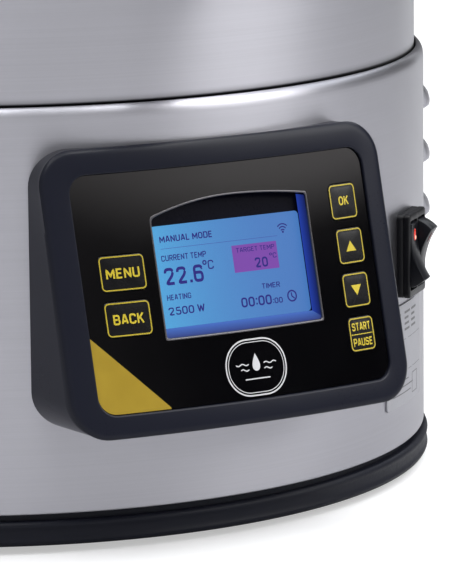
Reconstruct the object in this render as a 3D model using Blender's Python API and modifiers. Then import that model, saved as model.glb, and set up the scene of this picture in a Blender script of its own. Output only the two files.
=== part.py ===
"""Electric all-in-one brewer.

A boiler with a lift-out malt pipe and a glass lid stands on a heater base. The base holds the pump,
the heater, the relay board, a tilted control panel and a twin rocker switch. A ball tap drains the
boiler, and a riser with its own valve and swing arm returns the wort over the rim.

The origin is on the boiler's axis, in the plane of the bottom cover's underside. +Z is up and the
control panel faces -Y. Units are metres.
"""

import math

import bmesh
import bpy
from mathutils import Matrix

# ---- driving dimensions ----
GAP = 0.0003                # clearance between pieces that touch
SEGMENTS = 40               # facets round a large turned piece
SMALL_SEGMENTS = 16         # facets round a small turned piece

SHELL_R = 0.170             # outside of the lower shell
SHELL_WALL = 0.001
SHELL_BOTTOM = 0.0114
SEAM_Z = 0.1587             # top of the lower shell's rounded shoulder
RING_R = 0.1717             # outside of the black base ring
FOOT_DROP = 0.003           # the rubber feet reach this far under the bottom cover
FOOT_CIRCLE_R = 0.138

BOILER_R = 0.1664
BOILER_WALL = 0.0012
FLOOR_Z = 0.164             # underside of the boiler's floor
RIM_Z = 0.650               # top of the boiler's rolled rim
INNER_R = BOILER_R - BOILER_WALL

PIPE_R = 0.140              # outside of the malt pipe
PIPE_WALL = 0.001
PIPE_TOP = 0.620
SCREEN_Z = 0.2035           # underside of the bottom screen
STOP_Z = 0.470              # underside of the top screen's stop
OVERFLOW_R = 0.010
OVERFLOW_TOP = 0.600

LID_R = 0.1716
GLASS_R = 0.170
GLASS_EDGE_Z = 0.6542
GLASS_RISE = 0.0262
GLASS_THICK = 0.0025
STOPPER_Y = 0.090

FACE_TILT = math.radians(14.53)     # the control panel leans back by this much
FACE_CURVE_R = 0.417                # the panel's curve, seen from above
FACE_STEP = 0.020                   # a bent plate is split across at about this width
FACE_Z_REF = 0.14335
FACE_Y_REF = 0.1733                 # distance of the face from the axis at FACE_Z_REF
FACE_HALF_W = 0.0709
FACE_LOW = 0.0445
FACE_HIGH = 0.1446
FACE_CORNER = 0.0135
BACK_HALF_W = 0.0684                # the housing where it meets the shell
BACK_LOW = 0.043
BACK_HIGH = 0.1440
BEZEL_SKIRT = 0.0016
HOUSING_WALL = 0.0025
LEDGE_INSET = 0.0060
OVERLAY = (-0.0604, 0.0620, 0.0531, 0.1354)     # left, right, low, high
OVERLAY_CORNER = 0.0065
OVERLAY_DROP = 0.001                # the overlay lies this far under the bezel's face
OVERLAY_THICK = 0.002
WINDOW = (-0.0310, 0.0347, 0.0770)              # left, right, low
WINDOW_TOP = (0.1188, 0.1244, 0.1217)           # height at the left, the crown and the right
LCD_DEPTH = 0.0066
KEYS = {                            # left, right, low, high
    "key_menu": (-0.0536, -0.0358, 0.0950, 0.1075),
    "key_back": (-0.0538, -0.0360, 0.0793, 0.0915),
    "key_ok": (0.0450, 0.0573, 0.1106, 0.1232),
    "key_up": (0.0456, 0.0578, 0.0947, 0.1073),
    "key_down": (0.0455, 0.0576, 0.0793, 0.0915),
    "key_start_pause": (0.0454, 0.0571, 0.0637, 0.0759),
}

SWITCH_AZIMUTH = math.radians(40)
SWITCH_Z = 0.0853
SWITCH_FACE_R = 0.1746
SWITCH_HALF_W = 0.0110
SWITCH_HALF_H = 0.0161
ROCKER_OFFSET = 0.00495
ROCKER_W = 0.0083
ROCKER_R = 0.0129                   # the rocker's ends turn on this radius
ROCKER_PIVOT_R = SWITCH_FACE_R - 0.004
ROCKER_SWING = math.radians(13)     # either way from level

LABEL_AZIMUTHS = (math.radians(32.5), math.radians(47))
LABEL_HEIGHTS = (0.027, 0.066)

LOUVRE_AZIMUTHS = (math.radians(72), math.radians(-72))
LOUVRE_BASES = (0.1307, 0.1094, 0.0880)
LOUVRE_HEIGHT = 0.0094
LOUVRE_DEPTH = 0.0050
LOUVRE_HALF_ANGLE = math.radians(10.5)

GLAND_AZIMUTH = math.radians(150)
GLAND_Z = 0.040

TAP_Z = 0.216
TAP_BALL_Y = -0.191
RISER_Y = 0.188
RISER_VALVE_Z = 0.150
RISER_TOP = 0.690
ARM_REACH = RISER_Y - STOPPER_Y
PUMP_OUTLET_Z = 0.0705
FITTING_Z = 0.110

HANDLE_Z = 0.560

COLOURS = {                         # red, green, blue, roughness, metallic
    "steel": (0.56, 0.57, 0.59, 0.35, 1.0),
    "polished": (0.68, 0.69, 0.71, 0.18, 1.0),
    "black": (0.02, 0.02, 0.024, 0.45, 0.0),
    "slate": (0.022, 0.024, 0.032, 0.38, 0.0),
    "gloss": (0.006, 0.006, 0.007, 0.08, 0.0),
    "rubber": (0.015, 0.015, 0.015, 0.8, 0.0),
    "lcd": (0.10, 0.32, 0.75, 0.15, 0.0),
    "board": (0.02, 0.16, 0.06, 0.5, 0.0),
    "red": (0.70, 0.05, 0.03, 0.25, 0.0),
    "silver": (0.50, 0.50, 0.52, 0.45, 0.6),
    "brass": (0.60, 0.42, 0.18, 0.35, 1.0),
    "aluminium": (0.62, 0.62, 0.63, 0.5, 1.0),
    "silicone": (0.75, 0.73, 0.68, 0.6, 0.0),
    "glass": (0.82, 0.88, 0.88, 0.05, 0.0),
}


# ---- scene and object helpers ----
def clear_scene():
    """Remove every object that the file opened with."""
    for item in list(bpy.data.objects):
        bpy.data.objects.remove(item, do_unlink=True)


def collection(name):
    """Return the named collection, made and linked on first use."""
    group = bpy.data.collections.get(name)
    if group is None:
        group = bpy.data.collections.new(name)
        bpy.context.scene.collection.children.link(group)
    return group


def part(obj, finish):
    """Put an object among the parts, with a material of its own."""
    for group in list(obj.users_collection):
        group.objects.unlink(obj)
    collection("all_in_one_brewer").objects.link(obj)
    red, green, blue, roughness, metallic = COLOURS[finish]
    material = bpy.data.materials.new(obj.name)
    material.use_nodes = True
    shader = material.node_tree.nodes["Principled BSDF"]
    shader.inputs["Base Color"].default_value = (red, green, blue, 1.0)
    shader.inputs["Roughness"].default_value = roughness
    shader.inputs["Metallic"].default_value = metallic
    material.diffuse_color = (red, green, blue, 1.0)
    obj.data.materials.clear()
    obj.data.materials.append(material)
    return obj


def helper(obj):
    """Put an object among the cutters: it shapes a part and is not one itself."""
    for group in list(obj.users_collection):
        group.objects.unlink(obj)
    collection("cutters").objects.link(obj)
    obj.hide_render = True
    obj.display_type = "WIRE"
    return obj


def azimuth_empty(name, azimuth):
    """Return an empty on the boiler's axis: a child built at the front is carried to that azimuth."""
    empty = bpy.data.objects.new(name, None)
    bpy.context.scene.collection.objects.link(empty)
    empty.rotation_euler = (0.0, 0.0, azimuth)
    return empty


def mesh_object(name, vertices, edges, faces):
    """Return a linked object with the given mesh."""
    mesh = bpy.data.meshes.new(name)
    mesh.from_pydata(vertices, edges, faces)
    obj = bpy.data.objects.new(name, mesh)
    bpy.context.scene.collection.objects.link(obj)
    return obj


def turned(name, profile, closed=True, steps=SEGMENTS):
    """Turn a profile of (radius, height) points round Z.

    The points run down the outer side. A closed profile goes round a ring's section; an open one
    starts and ends on the axis.
    """
    vertices = [(radius, 0.0, height) for radius, height in profile]
    edges = [(i, i + 1) for i in range(len(profile) - 1)]
    if closed:
        edges.append((len(profile) - 1, 0))
    obj = mesh_object(name, vertices, edges, [])
    screw = obj.modifiers.new("turn", "SCREW")
    screw.axis = "Z"
    screw.steps = steps
    screw.render_steps = steps
    screw.use_merge_vertices = True
    screw.merge_threshold = 0.00001
    return obj


def facing_front(obj, x=0.0, y=0.0, z=0.0):
    """Lay a turned object's +Z axis along -Y, so that it stands out of the front."""
    obj.rotation_euler = (math.pi / 2, 0.0, 0.0)
    obj.location = (x, y, z)
    return obj


def box(name, low, high):
    """Return a box between two corners, its scale left at one."""
    obj = mesh_object(name, [], [], [])
    form = bmesh.new()
    bmesh.ops.create_cube(form, size=1.0)
    size = [b - a for a, b in zip(low, high)]
    centre = [(a + b) / 2 for a, b in zip(low, high)]
    form.transform(Matrix.Translation(centre) @ Matrix.Diagonal((*size, 1.0)))
    form.to_mesh(obj.data)
    form.free()
    return obj


def cylinder(name, radius, low, high, steps=SMALL_SEGMENTS):
    """Return an upright cylinder centred on the Z axis between two heights."""
    obj = mesh_object(name, [], [], [])
    form = bmesh.new()
    bmesh.ops.create_cone(form, cap_ends=True, segments=steps, radius1=radius, radius2=radius,
                          depth=high - low)
    form.transform(Matrix.Translation((0.0, 0.0, (low + high) / 2)))
    form.to_mesh(obj.data)
    form.free()
    return obj


def from_curve(name, curve):
    """Turn a curve into a closed mesh object, its caps welded to its wall."""
    source = bpy.data.objects.new(name + "_curve", curve)
    bpy.context.scene.collection.objects.link(source)
    bpy.context.view_layer.update()
    depsgraph = bpy.context.evaluated_depsgraph_get()
    mesh = bpy.data.meshes.new_from_object(source.evaluated_get(depsgraph))
    bpy.data.objects.remove(source, do_unlink=True)
    form = bmesh.new()
    form.from_mesh(mesh)
    bmesh.ops.remove_doubles(form, verts=form.verts, dist=0.000002)
    bmesh.ops.recalc_face_normals(form, faces=form.faces)
    form.to_mesh(mesh)
    form.free()
    mesh.name = name
    obj = bpy.data.objects.new(name, mesh)
    bpy.context.scene.collection.objects.link(obj)
    return obj


def flat_plate(name, outlines, thickness):
    """Extrude a flat outline, and the holes in it, by half the thickness either way along Z."""
    curve = bpy.data.curves.new(name, "CURVE")
    curve.dimensions = "2D"
    curve.fill_mode = "BOTH"
    curve.extrude = thickness / 2
    for outline in outlines:
        spline = curve.splines.new("POLY")
        spline.points.add(len(outline) - 1)
        for point, (x, y) in zip(spline.points, outline):
            point.co = (x, y, 0.0, 1.0)
        spline.use_cyclic_u = True
    return from_curve(name, curve)


def tube(name, points, radius, resolution=3):
    """Return a round bar along a smooth line through the points."""
    curve = bpy.data.curves.new(name, "CURVE")
    curve.dimensions = "3D"
    curve.bevel_depth = radius
    curve.bevel_resolution = resolution
    curve.use_fill_caps = True
    spline = curve.splines.new("POLY")
    spline.points.add(len(points) - 1)
    for point, place in zip(spline.points, points):
        point.co = (*place, 1.0)
    return from_curve(name, curve)


def rounded_path(corners, radius, steps=5):
    """Return a line through the corners, each inner corner rounded by an arc of the given radius."""
    path = [corners[0]]
    for before, corner, after in zip(corners, corners[1:], corners[2:]):
        back = unit([b - c for b, c in zip(before, corner)])
        ahead = unit([a - c for a, c in zip(after, corner)])
        for i in range(steps + 1):
            t = i / steps
            near, far = (1 - t) ** 2 * radius, t ** 2 * radius
            path.append(tuple(c + near * b + far * a for c, b, a in zip(corner, back, ahead)))
    path.append(corners[-1])
    return path


def unit(vector):
    """Return the vector at length one."""
    length = math.sqrt(sum(v * v for v in vector))
    return [v / length for v in vector]


def combine(target, tool, operation):
    """Add a live exact Boolean of the tool to the target, and file the tool with the cutters."""
    helper(tool)
    boolean = target.modifiers.new(tool.name, "BOOLEAN")
    boolean.operation = operation
    boolean.solver = "EXACT"
    boolean.object = tool
    return target


def cut(target, tool):
    """Cut the tool out of the target."""
    return combine(target, tool, "DIFFERENCE")


def join(target, tool):
    """Join the tool to the target as one body."""
    return combine(target, tool, "UNION")


def loft(name, loops):
    """Join closed loops of equal length by faces, the last one back to the first: a ring's skin."""
    count = len(loops[0])
    vertices = [point for loop in loops for point in loop]
    faces = []
    for i in range(len(loops)):
        j = (i + 1) % len(loops)
        for k in range(count):
            m = (k + 1) % count
            faces.append((i * count + k, i * count + m, j * count + m, j * count + k))
    return outward(mesh_object(name, vertices, [], faces))


def capped_loft(name, loops):
    """Join closed loops by faces and close the first and the last loop: a solid."""
    count = len(loops[0])
    vertices = [point for loop in loops for point in loop]
    faces = [tuple(range(count)), tuple(range((len(loops) - 1) * count, len(loops) * count))]
    for i in range(len(loops) - 1):
        for k in range(count):
            m = (k + 1) % count
            faces.append((i * count + k, i * count + m, (i + 1) * count + m, (i + 1) * count + k))
    return outward(mesh_object(name, vertices, [], faces))


def outward(obj):
    """Point every face of a closed mesh outwards."""
    form = bmesh.new()
    form.from_mesh(obj.data)
    bmesh.ops.recalc_face_normals(form, faces=form.faces)
    form.to_mesh(obj.data)
    form.free()
    return obj


def settle(obj):
    """Make an object's modifiers part of its mesh, and shade its round faces smooth."""
    bpy.context.view_layer.update()
    depsgraph = bpy.context.evaluated_depsgraph_get()
    mesh = bpy.data.meshes.new_from_object(obj.evaluated_get(depsgraph))
    obj.modifiers.clear()
    obj.data = mesh
    mesh.shade_smooth()
    mesh.set_sharp_from_angle(angle=math.radians(35))


def arc(centre_x, centre_y, radius, start, end, steps):
    """Return points on an arc, angles in degrees."""
    angles = [math.radians(start + (end - start) * i / steps) for i in range(steps + 1)]
    return [(centre_x + radius * math.cos(a), centre_y + radius * math.sin(a)) for a in angles]


def rounded_rectangle(left, right, low, high, radius, steps=4, side_steps=1):
    """Return an outline with round corners, its level sides split into equal steps."""
    corners = [
        arc(right - radius, high - radius, radius, 0, 90, steps),
        arc(left + radius, high - radius, radius, 90, 180, steps),
        arc(left + radius, low + radius, radius, 180, 270, steps),
        arc(right - radius, low + radius, radius, 270, 360, steps),
    ]
    outline = []
    for i, corner in enumerate(corners):
        outline.extend(corner)
        if i % 2 == 0:
            (x0, y0), (x1, y1) = corner[-1], corners[i + 1][0]
            for k in range(1, side_steps):
                t = k / side_steps
                outline.append((x0 + (x1 - x0) * t, y0 + (y1 - y0) * t))
    return outline


# ---- the control panel's curved, tilted face ----
def face_point(x, z, out, bent=True):
    """Return the point at x and height z that stands out of the panel's face by the given amount."""
    y = -FACE_Y_REF + (z - FACE_Z_REF) * math.tan(FACE_TILT) - out / math.cos(FACE_TILT)
    if bent:
        y += x * x / (2 * FACE_CURVE_R)
    return (x, y, z)


def shell_point(x, z, radius):
    """Return the point of an upright cylinder's front at x and height z."""
    return (x, -math.sqrt(radius * radius - x * x), z)


def on_face(obj, front, flat_back=False):
    """Bend a flat plate onto the panel's face, its top side standing out by the amount front.

    The plate lies in XY with its thickness along Z. It is split across X first, so that it follows
    the curve. A flat back stays in one plane, for a piece that rests on the flat display.
    """
    form = bmesh.new()
    form.from_mesh(obj.data)
    xs = [v.co.x for v in form.verts]
    pieces = max(1, round((max(xs) - min(xs)) / FACE_STEP))
    for i in range(1, pieces):
        x = min(xs) + (max(xs) - min(xs)) * i / pieces
        geometry = form.verts[:] + form.edges[:] + form.faces[:]
        bmesh.ops.bisect_plane(form, geom=geometry, plane_co=(x, 0, 0), plane_no=(1, 0, 0))
    top = max(v.co.z for v in form.verts)
    for vertex in form.verts:
        x, z, out = vertex.co.x, vertex.co.y, vertex.co.z - top + front
        bent = vertex.co.z > 0 or not flat_back
        vertex.co = face_point(x, z, out, bent)
    bmesh.ops.recalc_face_normals(form, faces=form.faces)
    form.to_mesh(obj.data)
    form.free()
    return obj


def face_outline(inset, side_steps=8):
    """Return the panel's outline, drawn in by an inset."""
    return rounded_rectangle(-FACE_HALF_W + inset, FACE_HALF_W - inset, FACE_LOW + inset,
                             FACE_HIGH - inset, max(FACE_CORNER - inset, 0.004), 4, side_steps)


def overlay_outline(grow, side_steps=8):
    """Return the overlay's outline, grown by an amount."""
    left, right, low, high = OVERLAY
    return rounded_rectangle(left - grow, right + grow, low - grow, high + grow,
                             max(OVERLAY_CORNER + grow, 0.003), 4, side_steps)


def window_outline(grow):
    """Return the display window's outline: square below, with a shallow arch above."""
    left, right, low = WINDOW
    left_top, crown, right_top = WINDOW_TOP
    half = (right - left) / 2
    outline = []
    steps = 8
    for i in range(steps + 1):
        t = 1 - 2 * i / steps
        top = crown - (crown - (right_top if t > 0 else left_top)) * t * t
        outline.append(((left + right) / 2 + (half + grow) * t, top + grow))
    return outline + [(left - grow, low - grow), (right + grow, low - grow)]


# ---- base ----
def base_ring():
    """The black moulded ring that the lower shell stands on, with a bead above and below."""
    profile = [
        (0.1675, SHELL_BOTTOM - GAP), (0.1675, 0.0090), (0.1704, 0.0090), (RING_R, 0.0076),
        (0.1710, 0.0058), (0.1710, 0.0032), (0.1716, 0.0017), (0.1704, 0.0), (0.1583, 0.0),
        (0.1583, 0.0023), (0.1500, 0.0023), (0.1500, 0.0048), (0.1625, 0.0048),
        (0.1625, SHELL_BOTTOM - GAP),
    ]
    return part(turned("base_ring", profile), "black")


def bottom_cover():
    """The steel disc under the base, with air slots in a ring."""
    cover = cylinder("bottom_cover", 0.1580, 0.0, 0.0020, SEGMENTS)
    for i in range(6):
        slot = box(f"cover_slot_{i}", (-0.003, 0.085, -0.01), (0.003, 0.120, 0.01))
        slot.rotation_euler = (0.0, 0.0, math.radians(60 * i + 30))
        cut(cover, slot)
    return part(cover, "steel")


def rubber_feet():
    """Four rubber pads under the bottom cover."""
    for name, angle in (("foot_front_right", -45), ("foot_back_right", 45),
                        ("foot_back_left", 135), ("foot_front_left", -135)):
        profile = [(0.0, -GAP), (0.0125, -GAP), (0.0125, -0.0018), (0.0112, -FOOT_DROP),
                   (0.0, -FOOT_DROP)]
        foot = turned(name, profile, closed=False, steps=16)
        turn = math.radians(angle)
        foot.location = (FOOT_CIRCLE_R * math.cos(turn), FOOT_CIRCLE_R * math.sin(turn), 0.0)
        part(foot, "rubber")


def louvre(name, azimuth, low, inner):
    """Return one pressed louvre, or the hollow behind it: deepest near its open lower edge."""
    loops = []
    for share, scale in ((-1.0, 0.12), (-0.9, 0.65), (-0.65, 1.0), (0.0, 1.0), (0.65, 1.0),
                         (0.9, 0.65), (1.0, 0.12)):
        angle = azimuth + share * LOUVRE_HALF_ANGLE * (0.93 if inner else 1.0)
        depth = LOUVRE_DEPTH * scale
        if inner:
            depth = max(depth - 0.0012, 0.0)
            section = [(0.163, LOUVRE_HEIGHT * 0.62), (SHELL_R + depth * 0.55, LOUVRE_HEIGHT * 0.62),
                       (SHELL_R + depth, LOUVRE_HEIGHT * 0.25), (SHELL_R + depth, -0.0004),
                       (0.163, -0.0004)]
        else:
            section = [(SHELL_R - 0.0006, LOUVRE_HEIGHT), (SHELL_R + 0.0001, LOUVRE_HEIGHT),
                       (SHELL_R + depth * 0.62, LOUVRE_HEIGHT * 0.55),
                       (SHELL_R + depth, LOUVRE_HEIGHT * 0.20),
                       (SHELL_R + depth * 0.88, 0.0), (SHELL_R - 0.0006, 0.0)]
        loops.append([(r * math.sin(angle), -r * math.cos(angle), low + z) for r, z in section])
    return capped_loft(name, loops)


def lower_shell():
    """The steel skirt of the base: rounded shoulder, louvres, and openings for what passes through."""
    inside = SHELL_R - SHELL_WALL
    profile = [
        (0.1672, SEAM_Z), (0.1686, SEAM_Z - 0.0005), (0.1697, SEAM_Z - 0.0020),
        (SHELL_R, SEAM_Z - 0.0045), (SHELL_R, SHELL_BOTTOM), (0.1663, SHELL_BOTTOM),
        (0.1663, SHELL_BOTTOM + 0.001), (inside, SHELL_BOTTOM + 0.001), (inside, SEAM_Z - 0.0045),
        (0.1672, SEAM_Z - 0.0010),
    ]
    shell = turned("lower_shell", profile)
    opening = flat_plate("panel_opening",
                         [rounded_rectangle(-0.0655, 0.0655, 0.048, 0.1394, 0.009)], 0.04)
    opening.rotation_euler = (math.pi / 2, 0.0, 0.0)
    opening.location = (0.0, -0.165, 0.0)
    cut(shell, opening)
    switch_hole = box("switch_hole", (-0.0107, -0.180, SWITCH_Z - 0.0150),
                      (0.0107, -0.155, SWITCH_Z + 0.0150))
    switch_hole.rotation_euler = (0.0, 0.0, SWITCH_AZIMUTH)
    cut(shell, switch_hole)
    gland_hole = cylinder("gland_hole", 0.0081, 0.150, 0.180)
    gland_hole.rotation_euler = (math.pi / 2, 0.0, GLAND_AZIMUTH)
    gland_hole.location = (0.0, 0.0, GLAND_Z)
    cut(shell, gland_hole)
    fitting_hole = cylinder("fitting_hole", 0.0084, 0.150, 0.180)
    fitting_hole.rotation_euler = (-math.pi / 2, 0.0, 0.0)
    fitting_hole.location = (0.0, 0.0, FITTING_Z)
    cut(shell, fitting_hole)
    for side, azimuth in enumerate(LOUVRE_AZIMUTHS):
        for row, low in enumerate(LOUVRE_BASES):
            join(shell, louvre(f"louvre_{side}_{row}", azimuth, low, False))
            cut(shell, louvre(f"louvre_hollow_{side}_{row}", azimuth, low, True))
    return part(shell, "steel")


def support_ring():
    """The ring inside the shell that the boiler's skirt stands on."""
    low, high = 0.1460, 0.1503
    profile = [(0.1600, high), (0.1686, high), (0.1686, low), (0.1600, low)]
    return part(turned("support_ring", profile), "steel")


# ---- control panel ----
def panel_housing():
    """The black wall between the curved shell and the bezel, deep below and shallow above."""
    back = rounded_rectangle(-BACK_HALF_W, BACK_HALF_W, BACK_LOW, BACK_HIGH, FACE_CORNER, 4, 8)
    back_in = rounded_rectangle(-BACK_HALF_W + HOUSING_WALL, BACK_HALF_W - HOUSING_WALL,
                                BACK_LOW + HOUSING_WALL, BACK_HIGH - HOUSING_WALL,
                                FACE_CORNER - HOUSING_WALL, 4, 8)
    front = -BEZEL_SKIRT - 0.00025
    radius = SHELL_R + GAP
    loops = [
        [shell_point(x, z, radius) for x, z in back],
        [face_point(x, z, front) for x, z in face_outline(0.0003)],
        [face_point(x, z, front) for x, z in face_outline(HOUSING_WALL)],
        [shell_point(x, z, radius) for x, z in back_in],
    ]
    return part(loft("panel_housing", loops), "slate")


def panel_bezel():
    """The front frame: round outer edge, flat border, and a ledge behind that carries the overlay."""
    ledge = -OVERLAY_DROP - OVERLAY_THICK - GAP
    loops = [
        [face_point(x, z, ledge - 0.0017) for x, z in face_outline(LEDGE_INSET)],
        [face_point(x, z, -BEZEL_SKIRT) for x, z in face_outline(LEDGE_INSET)],
        [face_point(x, z, -BEZEL_SKIRT) for x, z in face_outline(0.0)],
        [face_point(x, z, -0.0007) for x, z in face_outline(0.0004)],
        [face_point(x, z, -0.0002) for x, z in face_outline(0.0013)],
        [face_point(x, z, 0.0) for x, z in face_outline(0.0026)],
        [face_point(x, z, 0.0) for x, z in overlay_outline(0.0003)],
        [face_point(x, z, ledge) for x, z in overlay_outline(0.0003)],
        [face_point(x, z, ledge) for x, z in overlay_outline(-0.0025)],
        [face_point(x, z, ledge - 0.0017) for x, z in overlay_outline(-0.0025)],
    ]
    return part(loft("panel_bezel", loops), "slate")


def panel_overlay():
    """The gloss black front sheet, with holes for the display and the keys."""
    outlines = [overlay_outline(0.0, 1), window_outline(0.0)]
    for left, right, low, high in KEYS.values():
        outlines.append(rounded_rectangle(left - GAP, right + GAP, low - GAP, high + GAP, 0.0021, 2))
    sheet = flat_plate("panel_overlay", outlines, OVERLAY_THICK)
    return part(on_face(sheet, -OVERLAY_DROP), "gloss")


def panel_keys():
    """Six sprung keys that lie in the overlay's holes."""
    for name, (left, right, low, high) in KEYS.items():
        outline = rounded_rectangle(left, right, low, high, 0.0018, 2)
        key = flat_plate(name, [outline], 0.0025)
        part(on_face(key, -0.0007), "gloss")


def lcd_surround():
    """The frame between the overlay and the display, curved in front and flat behind."""
    front = -OVERLAY_DROP - OVERLAY_THICK - GAP
    outer = rounded_rectangle(-0.0350, 0.0390, 0.0735, 0.1275, 0.001, 1)
    thickness = LCD_DEPTH - GAP + front
    surround = flat_plate("lcd_surround", [outer, window_outline(0.0004)], thickness)
    return part(on_face(surround, front, flat_back=True), "black")


def lcd_module():
    """The flat liquid crystal display, tilted as the panel is."""
    plate = flat_plate("lcd_module", [rounded_rectangle(-0.0345, 0.0385, 0.0740, 0.1265, 0.001, 1)],
                       0.0039)
    for vertex in plate.data.vertices:
        x, z, out = vertex.co.x, vertex.co.y, vertex.co.z - 0.00195 - LCD_DEPTH
        vertex.co = face_point(x, z, out, bent=False)
    return part(outward(plate), "lcd")


def control_board():
    """The circuit board behind the display, with a push switch on a post behind each key."""
    board = flat_plate("control_board", [rounded_rectangle(-0.0590, 0.0590, 0.0520, 0.1320, 0.001, 1)],
                       0.0016)
    depth = 0.0120
    for vertex in board.data.vertices:
        x, z, out = vertex.co.x, vertex.co.y, vertex.co.z - 0.0008 - depth
        vertex.co = face_point(x, z, out, bent=False)
    outward(board)
    for name, (left, right, low, high) in KEYS.items():
        x, z = (left + right) / 2, (low + high) / 2
        _, face_y, _ = face_point(x, z, 0.0)
        _, board_y, _ = face_point(x, z, -depth, bent=False)
        post = box(f"{name}_post", (x - 0.0025, face_y + 0.0050, z - 0.0025),
                   (x + 0.0025, board_y + 0.0006, z + 0.0025))
        join(board, post)
    return part(board, "board")


# ---- twin rocker switch ----
def switch_backing(mount):
    """The spacer that fits the switch's flat flange to the round shell."""
    block = box("switch_backing", (-SWITCH_HALF_W, -SWITCH_FACE_R + 0.0023, SWITCH_Z - SWITCH_HALF_H),
                (SWITCH_HALF_W, -0.160, SWITCH_Z + SWITCH_HALF_H))
    block.parent = mount
    cut(block, cylinder("backing_back", SHELL_R + GAP, 0.05, 0.12, 240))
    barrel_hole = box("backing_hole", (-0.0107, -0.180, SWITCH_Z - 0.0150),
                      (0.0107, -0.150, SWITCH_Z + 0.0150))
    barrel_hole.parent = mount
    cut(block, barrel_hole)
    return part(block, "black")


def switch_frame(mount):
    """The switch's flange and barrel, with a well for each rocker and a rib between them."""
    frame = box("switch_frame", (-SWITCH_HALF_W, -SWITCH_FACE_R, SWITCH_Z - SWITCH_HALF_H),
                (SWITCH_HALF_W, -SWITCH_FACE_R + 0.0020, SWITCH_Z + SWITCH_HALF_H))
    barrel = box("switch_barrel", (-0.0104, -SWITCH_FACE_R + 0.0010, SWITCH_Z - 0.0147),
                 (0.0104, -0.152, SWITCH_Z + 0.0147))
    frame.parent = mount
    barrel.parent = mount
    join(frame, barrel)
    for side in (-1, 1):
        centre = side * ROCKER_OFFSET
        well = box(f"switch_well_{side}", (centre - 0.00445, -0.180, SWITCH_Z - 0.0132),
                   (centre + 0.00445, -0.1565, SWITCH_Z + 0.0132))
        well.parent = mount
        cut(frame, well)
    return part(frame, "black")


def rocker(name, mount, side):
    """One rocker with its origin on its pivot; side -1 is pressed in at the top, +1 at the bottom.

    The ends are arcs about the pivot, and the front is two flats that meet in a shallow valley.
    """
    tip = 34
    outline = arc(0.0, 0.0, ROCKER_R, tip, -10, 4)
    outline += [(-x, y) for x, y in reversed(outline)]
    outline.append((0.0, 0.0052))
    obj = flat_plate(name, [outline], ROCKER_W)
    # the outline's x is the rocker's height and its y points out of the switch
    obj.data.transform(Matrix(((0, 0, 1, 0), (0, -1, 0, 0), (1, 0, 0, 0), (0, 0, 0, 1))))
    outward(obj)
    obj.parent = mount
    obj.location = (side * ROCKER_OFFSET, -ROCKER_PIVOT_R, SWITCH_Z)
    obj.rotation_euler = (side * ROCKER_SWING, 0.0, 0.0)
    slope = math.atan2(ROCKER_R * math.sin(math.radians(tip)) - 0.0052,
                       ROCKER_R * math.cos(math.radians(tip)))
    for label, half_w, half_h, low, high, finish in (
            ("pocket", 0.0012, 0.0026, -0.0011, 0.0010, None),
            ("lens", 0.0009, 0.0023, -0.0008, 0.0002, "red")):
        piece = box(f"{name}_{label}", (-half_w, -high, -half_h), (half_w, -low, half_h))
        along = 0.0066
        piece.data.transform(Matrix.Rotation(slope, 4, "X"))
        front = 0.0052 + along * math.tan(slope)
        piece.data.transform(Matrix.Translation((0.0, -front, along)))
        piece.parent = mount
        piece.location = obj.location
        piece.rotation_euler = obj.rotation_euler
        if finish is None:
            cut(obj, piece)
        else:
            part(piece, finish)
    return part(obj, "black")


def rating_label():
    """The thin silver label on the shell beside the panel."""
    start, end = LABEL_AZIMUTHS
    low, high = LABEL_HEIGHTS
    steps = 6
    loops = []
    for i in range(steps + 1):
        angle = start + (end - start) * i / steps
        corners = ((0.1704, low), (0.1706, low), (0.1706, high), (0.1704, high))
        loops.append([(r * math.sin(angle), -r * math.cos(angle), z) for r, z in corners])
    return part(capped_loft("rating_label", loops), "silver")


# ---- mains entry ----
def cable_gland():
    """The gland's body, screwed through the shell at the back, and its domed nut."""
    mount = azimuth_empty("gland_axis", GLAND_AZIMUTH)
    body = [(0.0055, 0.1830), (0.0080, 0.1830), (0.0080, 0.1765), (0.0110, 0.1765),
            (0.0110, 0.1705), (0.0078, 0.1705), (0.0078, 0.1560), (0.0055, 0.1560)]
    nut = [(0.0055, 0.1950), (0.0072, 0.1950), (0.0096, 0.1915), (0.0104, 0.1880),
           (0.0104, 0.1768), (0.0083, 0.1768), (0.0083, 0.1835), (0.0055, 0.1835)]
    for name, profile in (("cable_gland", body), ("gland_nut", nut)):
        obj = facing_front(turned(name, profile, steps=16), z=GLAND_Z)
        obj.parent = mount
        part(obj, "black")


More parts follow.
